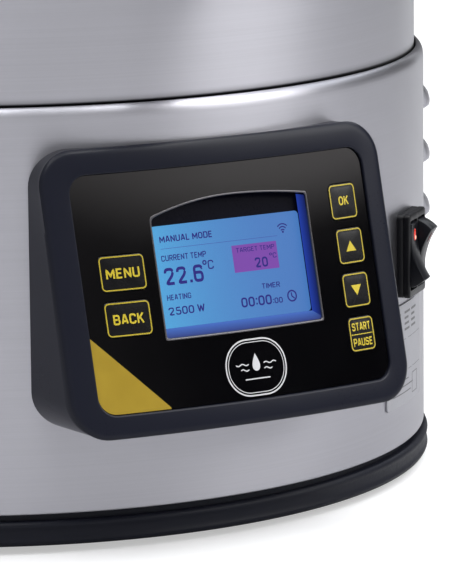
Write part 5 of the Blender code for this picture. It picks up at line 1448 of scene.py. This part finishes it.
def build_lid():
    """Lid: domed glass with a hole in its middle, steel rim, knob with washer, silicone stopper."""
    radii = np.concatenate([np.linspace(0.0047, 0.03, 8), np.linspace(0.035, 0.1695, 30)])
    upper = np.stack([radii, glass_top(radii)], 1)
    lower = np.stack([radii, glass_top(radii) - 0.0025], 1)[::-1]
    piece("lid_dome", turned(np.concatenate([upper, lower]), closed=True), "lid", "Lid glass",
          "lid_glass", sharp=60)
    rim = rounded_line(
        [(0.1600, 0.6590), (0.1700, 0.6566), (0.1716, 0.6550), (0.1716, 0.6503), (0.1637, 0.6503),
         (0.1637, 0.6430), (0.1627, 0.6430), (0.1627, 0.6512), (0.1706, 0.6512), (0.1706, 0.6546),
         (0.1600, 0.6577)],
        [0.0005, 0.0012, 0.0010, 0.0008, 0.0004, 0.0004, 0.0004, 0.0004, 0.0003, 0.0003, 0.0003],
        4,
        closed=True)
    piece("lid_edge", turned(rim), "lid", "Polished steel", "lid_rim")
    base = glass_top(0.0) + 0.0003
    knob = rounded_line([(0.0, 0.0275), (0.0120, 0.0272), (0.0182, 0.0240), (0.0190, 0.0190),
                         (0.0165, 0.0140), (0.0098, 0.0080), (0.0108, 0.0030), (0.0145, 0.0),
                         (0.0040, 0.0), (0.0040, -0.0070), (0.0, -0.0070)],
                        [0, 0.004, 0.003, 0.003, 0.003, 0.003, 0.002, 0.0006, 0.0002, 0.0004, 0],
                        5)
    piece("lid_knob_cap", turned(knob + (0.0, base), closed=False, steps=72), "lid",
          "Knob moulding",
          "lid_knob")
    seat = glass_top(STOPPER_Y - 0.017) + 0.0003
    plug = rounded_line([(0.0, 0.0110), (0.0055, 0.0108), (0.0060, 0.0036), (0.0165, 0.0030),
                         (0.0170, 0.0), (0.0134, 0.0), (0.0128, -0.0120), (0.0, -0.0120)],
                        [0, 0.0012, 0.0012, 0.0007, 0.0005, 0.0004, 0.001, 0], 4)
    plug = moved(turned(plug + (0.0, seat), closed=False, steps=64),
                 Matrix.Translation((0.0, STOPPER_Y, 0.0)))
    piece("stopper_plug", plug, "stopper", "Silicone", "lid_stopper")


def build_malt_pipe():
    """Malt pipe: its wall with foot notches, screens, overflow pipe and stop."""
    low = FLOOR_Z + 0.0015
    heights = np.concatenate([np.linspace(low, 0.190, 12), np.linspace(0.195, 0.6195, 40)])
    steps = 240
    a = (np.arange(steps) + 0.5) * 360 / steps
    turn = np.radians(a)
    points = np.stack(np.broadcast_arrays(PIPE_R * np.sin(turn)[None],
                                          -PIPE_R * np.cos(turn)[None],
                                          heights[:, None]), -1)
    wall = grid(points, close_columns=True)
    middle_a = np.radians(np.roll(a, -1) - 180 / steps)
    middle_h = (heights[1:] + heights[:-1]) / 2
    across = np.minimum(np.abs(np.sin(middle_a - math.pi / 4)),
                        np.abs(np.cos(middle_a - math.pi / 4)))
    notch = (across * PIPE_R < 0.045)[None] & (middle_h < 0.190)[:, None]
    hole = (np.abs(np.cos(middle_a)) * PIPE_R < 0.0090)[None]
    hole = hole & (np.abs(middle_h - 0.600) < 0.009)[:, None]
    wall["faces"] = wall["faces"][~(notch | hole).reshape(-1)]
    piece("malt_pipe_wall", wall, "malt_pipe", "Inner steel", "malt_pipe",
          wall=0.00095)
    seat = rounded_line([(0.1388, 0.2020), (0.1388, 0.2032), (0.1330, 0.2032), (0.1330, 0.2020)],
                        0.0002, 2, closed=True)
    piece("screen_seat", turned(seat), "malt_pipe", "Inner steel", ())
    lower = rounded_line([(0.0104, 0.2050), (0.1384, 0.2050), (0.1384, 0.2035), (0.0104, 0.2035)],
                         0.0003, 2, closed=True)
    piece("screen_lower_plate", turned(lower), "malt_pipe", "Perforated steel", "screen_bottom")
    flange = 0.2053
    tube = rounded_line([(0.0088, 0.6000), (0.0100, 0.6000), (0.0100, flange + 0.002),
                         (0.0160, flange + 0.002), (0.0160, flange), (0.0100, flange),
                         (0.0100, 0.1990), (0.0088, 0.1990)], 0.0003, 3, closed=True)
    piece("overflow_tube", turned(tube, steps=64), "malt_pipe", "Polished steel", "overflow_pipe")
    stop = rounded_line([(0.0103, 0.478), (0.0155, 0.478), (0.0155, 0.470), (0.0103, 0.470)],
                        0.0012, 4,
                        closed=True)
    piece("screen_collar", turned(stop, steps=64), "malt_pipe", "Silicone", "screen_stop")
    rest = 0.4783
    upper = rounded_line([(0.0108, rest + 0.0014), (0.1340, rest + 0.0014),
                          (0.1384, rest + 0.0060),
                          (0.1384, rest + 0.0048), (0.1352, rest), (0.0108, rest)],
                         [0.0003, 0.002, 0.0003, 0.0003, 0.002, 0.0003], 4, closed=True)
    piece("screen_upper_plate", turned(upper), "screen_top", "Perforated steel", "screen_top")


def build_return_line():
    """Return line: elbow with its ball valve, red lever, riser with clips, and the swinging arm."""
    sideways = (1.0, 0.0, 0.0)
    elbow = refined(rounded_line([(0.0, 0.1590, FITTING_Z), (0.0, RISER_Y, FITTING_Z),
                                  (0.0, RISER_Y, 0.1690)], [0, 0.014, 0], 10), 0.004)
    at_riser = Matrix.Translation((0.0, RISER_Y, 0.0))
    flange = rounded_line([(0.0079, 0.1706), (0.0125, 0.1706), (0.0125, 0.1740), (0.0079, 0.1740)],
                          [0, 0.0003, 0.0008, 0.0003], 3, closed=True)
    barrel = rounded_line([(0.0, 0.1360), (0.0095, 0.1360), (0.0125, 0.1395), (0.0125, 0.1605),
                           (0.0095, 0.1640), (0.0, 0.1640)], [0, 0.0005, 0.001, 0.001, 0.0005, 0],
                          3)
    neck = rounded_line([(0.0036, 0.0090), (0.0070, 0.0090), (0.0070, 0.0170), (0.0036, 0.0170)],
                        [0, 0, 0.0006, 0.0003], 3, closed=True)
    back = facing(math.pi)
    parts = [swept(elbow, 0.0080, sideways), moved(turned(flange, steps=64), back @ Matrix.
             Translation((0.0, FITTING_Z, 0.0))),
             moved(turned(barrel, closed=False, steps=64), at_riser),
             moved(turned(neck, steps=48), Matrix.Translation((0.0, RISER_Y, VALVE_Z)) @ back)]
    piece("return_valve_body", parts, "base", "Polished steel", "return_valve")
    blade = outline(-0.060, 0.008, -0.006, 0.006, 0.0055, corner_steps=8, side_steps=8)
    front = RISER_Y + 0.0173
    at_lever = lambda p, y: np.stack([p[:, 0], np.full(len(p), front + y), VALVE_Z - p[:, 1]], 1)
    stem = moved(turned([(0.0, 0.0090), (0.0032, 0.0090), (0.0032, 0.0190), (0.0, 0.0190)],
                        closed=False,
                        steps=24), Matrix.Translation((0.0, RISER_Y, VALVE_Z)) @ back)
    nut = plate(hexagon(0.0050, 0.0005, 2, 0.002), at_lever, 0.0028, 0.0046, edge=0.0003, finish=1)
    piece("return_lever_blade", [plate(blade, at_lever, 0.0, 0.0030, edge=0.0007, rings=6),
                                 {**stem, "finish": 1}, nut], "return_handle",
          ["Lever red", "Polished steel"], "return_lever")
    riser = rounded_line([(0.0, RISER_TOP), (0.0080, RISER_TOP), (0.0080, 0.1693), (0.0, 0.1693)],
                         [0, 0.0006, 0.0003, 0], 3)
    parts = [moved(turned(riser, closed=False, steps=48), at_riser)]
    for height in (0.260, 0.600):
        clip = outline(-0.0060, 0.0060, height - 0.006, height + 0.006, 0.0012, corner_steps=4,
                       side_steps=3)
        depth = lambda p, y: np.stack([p[:, 0], np.full(len(p), y), p[:, 1]], 1)
        parts.append(plate(clip, depth, BOILER_R + 0.0004, RISER_Y - 0.004, edge=0.0004))
        hoop = rounded_line([(0.0078, -0.005), (0.0090, -0.005), (0.0090, 0.005), (0.0078, 0.005)],
                            [0, 0.0004, 0.0004, 0], 3, closed=True)
        parts.append(moved(turned(hoop, steps=48), Matrix.Translation((0.0, RISER_Y, height))))
    piece("return_riser", parts, "base", "Polished steel", "return_pipe")
    height = RISER_TOP + 0.026
    corners = [(0.0, RISER_Y, RISER_TOP + 0.0003), (0.0, RISER_Y, height),
               (-ARM_REACH, RISER_Y, height), (-ARM_REACH, RISER_Y, height - 0.020)]
    path = refined(rounded_line(corners, [0, 0.016, 0.014, 0], 10), 0.004)
    outer = swept(path, 0.0080, (0.0, 1.0, 0.0))
    mouth = rounded_line([(0.0060, height - 0.0203), (0.0083, height - 0.0203),
                          (0.0083, height - 0.0160),
                          (0.0060, height - 0.0160)], 0.0004, 3, closed=True)
    inner = turned([(0.0, height - 0.0201), (0.0060, height - 0.0201), (0.0060, height - 0.0198),
                    (0.0, height - 0.0198)], closed=False, steps=48, finish=1)
    at_mouth = Matrix.Translation((-ARM_REACH, RISER_Y, 0.0))
    piece("return_spout", [outer, moved(turned(mouth, steps=48), at_mouth),
                           moved(inner, at_mouth)],
          "return_arm", ["Polished steel", "Sensor black"], "return_arm")


# ---- stage ----
def area_light(name, place, target, width, height, power, colour):
    """Add a soft rectangular light aimed at a point, not itself in view."""
    data = bpy.data.lights.new(name, "AREA")
    data.shape = "RECTANGLE"
    data.size, data.size_y = width, height
    data.energy = power
    data.color = colour
    obj = bpy.data.objects.new(name, data)
    obj.location = place
    obj.rotation_euler = (Vector(target) - Vector(place)).to_track_quat("-Z", "Y").to_euler()
    obj.visible_camera = False
    bpy.context.scene.collection.objects.link(obj)


def stage_piece(name, surface, finish):
    """Add a mesh that belongs to the stage and not to the brewer."""
    mesh = shaped_mesh(name, [surface])
    mesh.materials.append(bpy.data.materials[finish])
    obj = bpy.data.objects.new(name, mesh)
    bpy.context.scene.collection.objects.link(obj)
    return obj


def build_stage():
    """Stage: pale floor, soft lights, white surround and the camera."""
    stage = bpy.context.scene.brewer_stage
    ticks = np.linspace(-6.0, 6.0, 13)
    x, y = np.meshgrid(ticks, ticks, indexing="ij")
    surface = grid(np.stack([x, y, np.full_like(x, -0.00305)], -1))
    floor = stage_piece("stage_floor", surface, "Stage floor")
    if floor.data.polygons[0].normal.z < 0:
        floor.data.flip_normals()

    world = bpy.data.worlds.new("Surround")
    bpy.context.scene.world = world
    world.use_nodes = True
    tree = world.node_tree
    back = tree.nodes["Background"]
    back.inputs["Color"].default_value = (0.97, 0.98, 1.0, 1.0)
    where = node(tree, "ShaderNodeTexCoord").outputs["Generated"]
    along = vector_maths(tree, "DOT_PRODUCT", {0: where, 1: (-0.42, -0.35, 0.0)}, 1)
    level = maths(tree, "MULTIPLY", maths(tree, "ADD", along, 0.75), stage.surround)
    tree.links.new(level, back.inputs["Strength"])
    seen = node(tree, "ShaderNodeBackground")
    seen.inputs["Color"].default_value = (1.0, 1.0, 1.0, 1.0)
    ray = node(tree, "ShaderNodeLightPath").outputs["Is Camera Ray"]
    mixed = node(tree, "ShaderNodeMixShader", {0: ray, 1: back.outputs[0], 2: seen.outputs[0]})
    tree.links.new(mixed.outputs[0], tree.nodes["World Output"].inputs["Surface"])

    a = np.radians(np.linspace(-1, 56, 31))[:, None]
    line = 0.595 - 0.00355 * (np.degrees(a) - 10.4)
    drop = np.array([0.20, 0.15, 0.10, 0.05, 0.04, 0.03, 0.02, 0.01, 0.0, -0.02, -0.05])[None, :]
    card = np.stack(np.broadcast_arrays(1.6 * np.sin(a), -1.6 * np.cos(a), line - drop), -1)
    shade = np.interp(drop, [0.0, 0.05], [1.0, 0.0]) ** 1.2 * np.interp(a, [0.1, 0.9], [0.6, 1.5])
    left = 0.10 * np.interp(a, [0.15, 0.45], [1.0, 0.0]) + 0.0 * drop
    surface = grid(card, shade=np.maximum(shade, left))
    flag = stage_piece("stage_flag", surface, "Stage flag")
    flag.visible_camera = flag.visible_shadow = flag.visible_diffuse = False

    middle = (0.0, 0.0, 0.15)
    area_light("front_softbox", (1.32, -1.35, 1.50), middle, 1.3, 2.1, stage.softbox * 1.4,
               (1.0, 1.0, 1.0))
    area_light("overhead_softbox", (-0.1, -0.5, 1.9), middle, 2.2, 1.6, stage.overhead * 0.9,
               (0.97, 0.98, 1.0))
    area_light("right_softbox", (1.55, 0.15, 1.40), middle, 1.7, 0.8, stage.softbox * 0.24,
               (0.92, 0.95, 1.0))
    area_light("side_strip", (1.55, 0.95, 0.5), middle, 0.10, 1.4, stage.strip, (0.93, 0.96, 1.0))
    area_light("back_softbox", (-1.0, 1.7, 1.2), middle, 1.6, 1.2, stage.softbox * 0.6,
               (1.0, 1.0, 1.0))

    data = bpy.data.cameras.new("camera")
    data.lens = stage.lens
    data.sensor_width = 36.0
    data.clip_start, data.clip_end = 0.1, 50.0
    camera = bpy.data.objects.new("camera", data)
    right, up = Vector((0.85221, -0.52312, -0.00921)), Vector((0.10593, 0.15527, 0.98218))
    ahead = Vector((0.51236, 0.83800, -0.18773))
    turn = Matrix((right, up, -ahead)).transposed().to_4x4()
    camera.matrix_world = Matrix.Translation((-0.87298, -1.60561, 0.40891)) @ turn
    bpy.context.scene.collection.objects.link(camera)
    bpy.context.scene.camera = camera
    bpy.context.scene.view_settings.view_transform = "Standard"
    bpy.context.scene.view_settings.look = "None"


# ---- operators, panel and registration ----
class BREWER_OT_finishes(bpy.types.Operator):
    """Build the shader groups, the finishes and the inner nodes' looks."""

    bl_idname = "brewer.finishes"
    bl_label = "Finishes"

    def execute(self, context):
        make_finishes()
        carry_over()
        return {"FINISHED"}


class BREWER_OT_base_ring(bpy.types.Operator):
    """Build the base ring and the feet."""

    bl_idname = "brewer.base_ring"
    bl_label = "Base ring and feet"

    def execute(self, context):
        build_ring()
        return {"FINISHED"}


class BREWER_OT_shell(bpy.types.Operator):
    """Build the lower shell with its louvres."""

    bl_idname = "brewer.shell"
    bl_label = "Lower shell"

    def execute(self, context):
        build_shell()
        return {"FINISHED"}


class BREWER_OT_boiler(bpy.types.Operator):
    """Build the boiler's wall, rim and floor."""

    bl_idname = "brewer.boiler"
    bl_label = "Boiler"

    def execute(self, context):
        build_boiler()
        return {"FINISHED"}


class BREWER_OT_panel_frame(bpy.types.Operator):
    """Build the housing and the bezel."""

    bl_idname = "brewer.panel_frame"
    bl_label = "Panel frame"

    def execute(self, context):
        build_panel_frame()
        return {"FINISHED"}


class BREWER_OT_overlay(bpy.types.Operator):
    """Build the gloss overlay, its corner and badge."""

    bl_idname = "brewer.overlay"
    bl_label = "Overlay"

    def execute(self, context):
        build_overlay()
        return {"FINISHED"}


class BREWER_OT_keys(bpy.types.Operator):
    """Build the six keys with their legends."""

    bl_idname = "brewer.keys"
    bl_label = "Keys"

    def execute(self, context):
        build_keys()
        return {"FINISHED"}


class BREWER_OT_display(bpy.types.Operator):
    """Build the display and its read-out."""

    bl_idname = "brewer.display"
    bl_label = "Display"

    def execute(self, context):
        build_display()
        return {"FINISHED"}


class BREWER_OT_switch(bpy.types.Operator):
    """Build the twin rocker switch."""

    bl_idname = "brewer.switch"
    bl_label = "Switch"

    def execute(self, context):
        build_switch()
        return {"FINISHED"}


class BREWER_OT_label(bpy.types.Operator):
    """Build the rating label."""

    bl_idname = "brewer.label"
    bl_label = "Label"

    def execute(self, context):
        build_label()
        return {"FINISHED"}


class BREWER_OT_gland(bpy.types.Operator):
    """Build the cord gland."""

    bl_idname = "brewer.gland"
    bl_label = "Gland"

    def execute(self, context):
        build_gland()
        return {"FINISHED"}


class BREWER_OT_tap(bpy.types.Operator):
    """Build the ball tap."""

    bl_idname = "brewer.tap"
    bl_label = "Tap"

    def execute(self, context):
        build_tap()
        return {"FINISHED"}


class BREWER_OT_handles(bpy.types.Operator):
    """Build the two side handles."""

    bl_idname = "brewer.handles"
    bl_label = "Handles"

    def execute(self, context):
        build_handles()
        return {"FINISHED"}


class BREWER_OT_lid(bpy.types.Operator):
    """Build the lid and its stopper."""

    bl_idname = "brewer.lid"
    bl_label = "Lid"

    def execute(self, context):
        build_lid()
        return {"FINISHED"}


class BREWER_OT_malt_pipe(bpy.types.Operator):
    """Build the malt pipe and its screens."""

    bl_idname = "brewer.malt_pipe"
    bl_label = "Malt pipe"

    def execute(self, context):
        build_malt_pipe()
        return {"FINISHED"}


class BREWER_OT_return_line(bpy.types.Operator):
    """Build the riser, its valve and arm."""

    bl_idname = "brewer.return_line"
    bl_label = "Return line"

    def execute(self, context):
        build_return_line()
        return {"FINISHED"}


class BREWER_OT_stage(bpy.types.Operator):
    """Build the floor, the lights and the camera."""

    bl_idname = "brewer.stage"
    bl_label = "Stage"

    def execute(self, context):
        build_stage()
        return {"FINISHED"}


OPERATORS = [
    BREWER_OT_finishes,
    BREWER_OT_base_ring,
    BREWER_OT_shell,
    BREWER_OT_boiler,
    BREWER_OT_panel_frame,
    BREWER_OT_overlay,
    BREWER_OT_keys,
    BREWER_OT_display,
    BREWER_OT_switch,
    BREWER_OT_label,
    BREWER_OT_gland,
    BREWER_OT_tap,
    BREWER_OT_handles,
    BREWER_OT_lid,
    BREWER_OT_malt_pipe,
    BREWER_OT_return_line,
    BREWER_OT_stage,
]


class BREWER_PT_panel(bpy.types.Panel):
    """Brewer panel in the 3D view's sidebar."""

    bl_label = "Brewer"
    bl_idname = "BREWER_PT_panel"
    bl_space_type = "VIEW_3D"
    bl_region_type = "UI"
    bl_category = "Brewer"

    def draw(self, context):
        for operator in OPERATORS:
            self.layout.operator(operator.bl_idname)
        for group in (context.scene.brewer_finish, context.scene.brewer_shape,
                      context.scene.brewer_stage):
            for name in group.bl_rna.properties.keys():
                if name not in ("rna_type", "name"):
                    self.layout.prop(group, name)


CLASSES = [FinishSettings, ShapeSettings, StageSettings, *OPERATORS, BREWER_PT_panel]


def register():
    """Register the classes and hang the settings on the scene."""
    for item in CLASSES:
        bpy.utils.register_class(item)
    bpy.types.Scene.brewer_finish = PointerProperty(type=FinishSettings)
    bpy.types.Scene.brewer_shape = PointerProperty(type=ShapeSettings)
    bpy.types.Scene.brewer_stage = PointerProperty(type=StageSettings)


def unregister():
    """Take the settings and the classes away again."""
    del bpy.types.Scene.brewer_finish
    del bpy.types.Scene.brewer_shape
    del bpy.types.Scene.brewer_stage
    for item in reversed(CLASSES):
        bpy.utils.unregister_class(item)


def main():
    register()
    for operator in OPERATORS:
        group, name = operator.bl_idname.split(".")
        getattr(getattr(bpy.ops, group), name)()


if __name__ == "__main__":
    main()
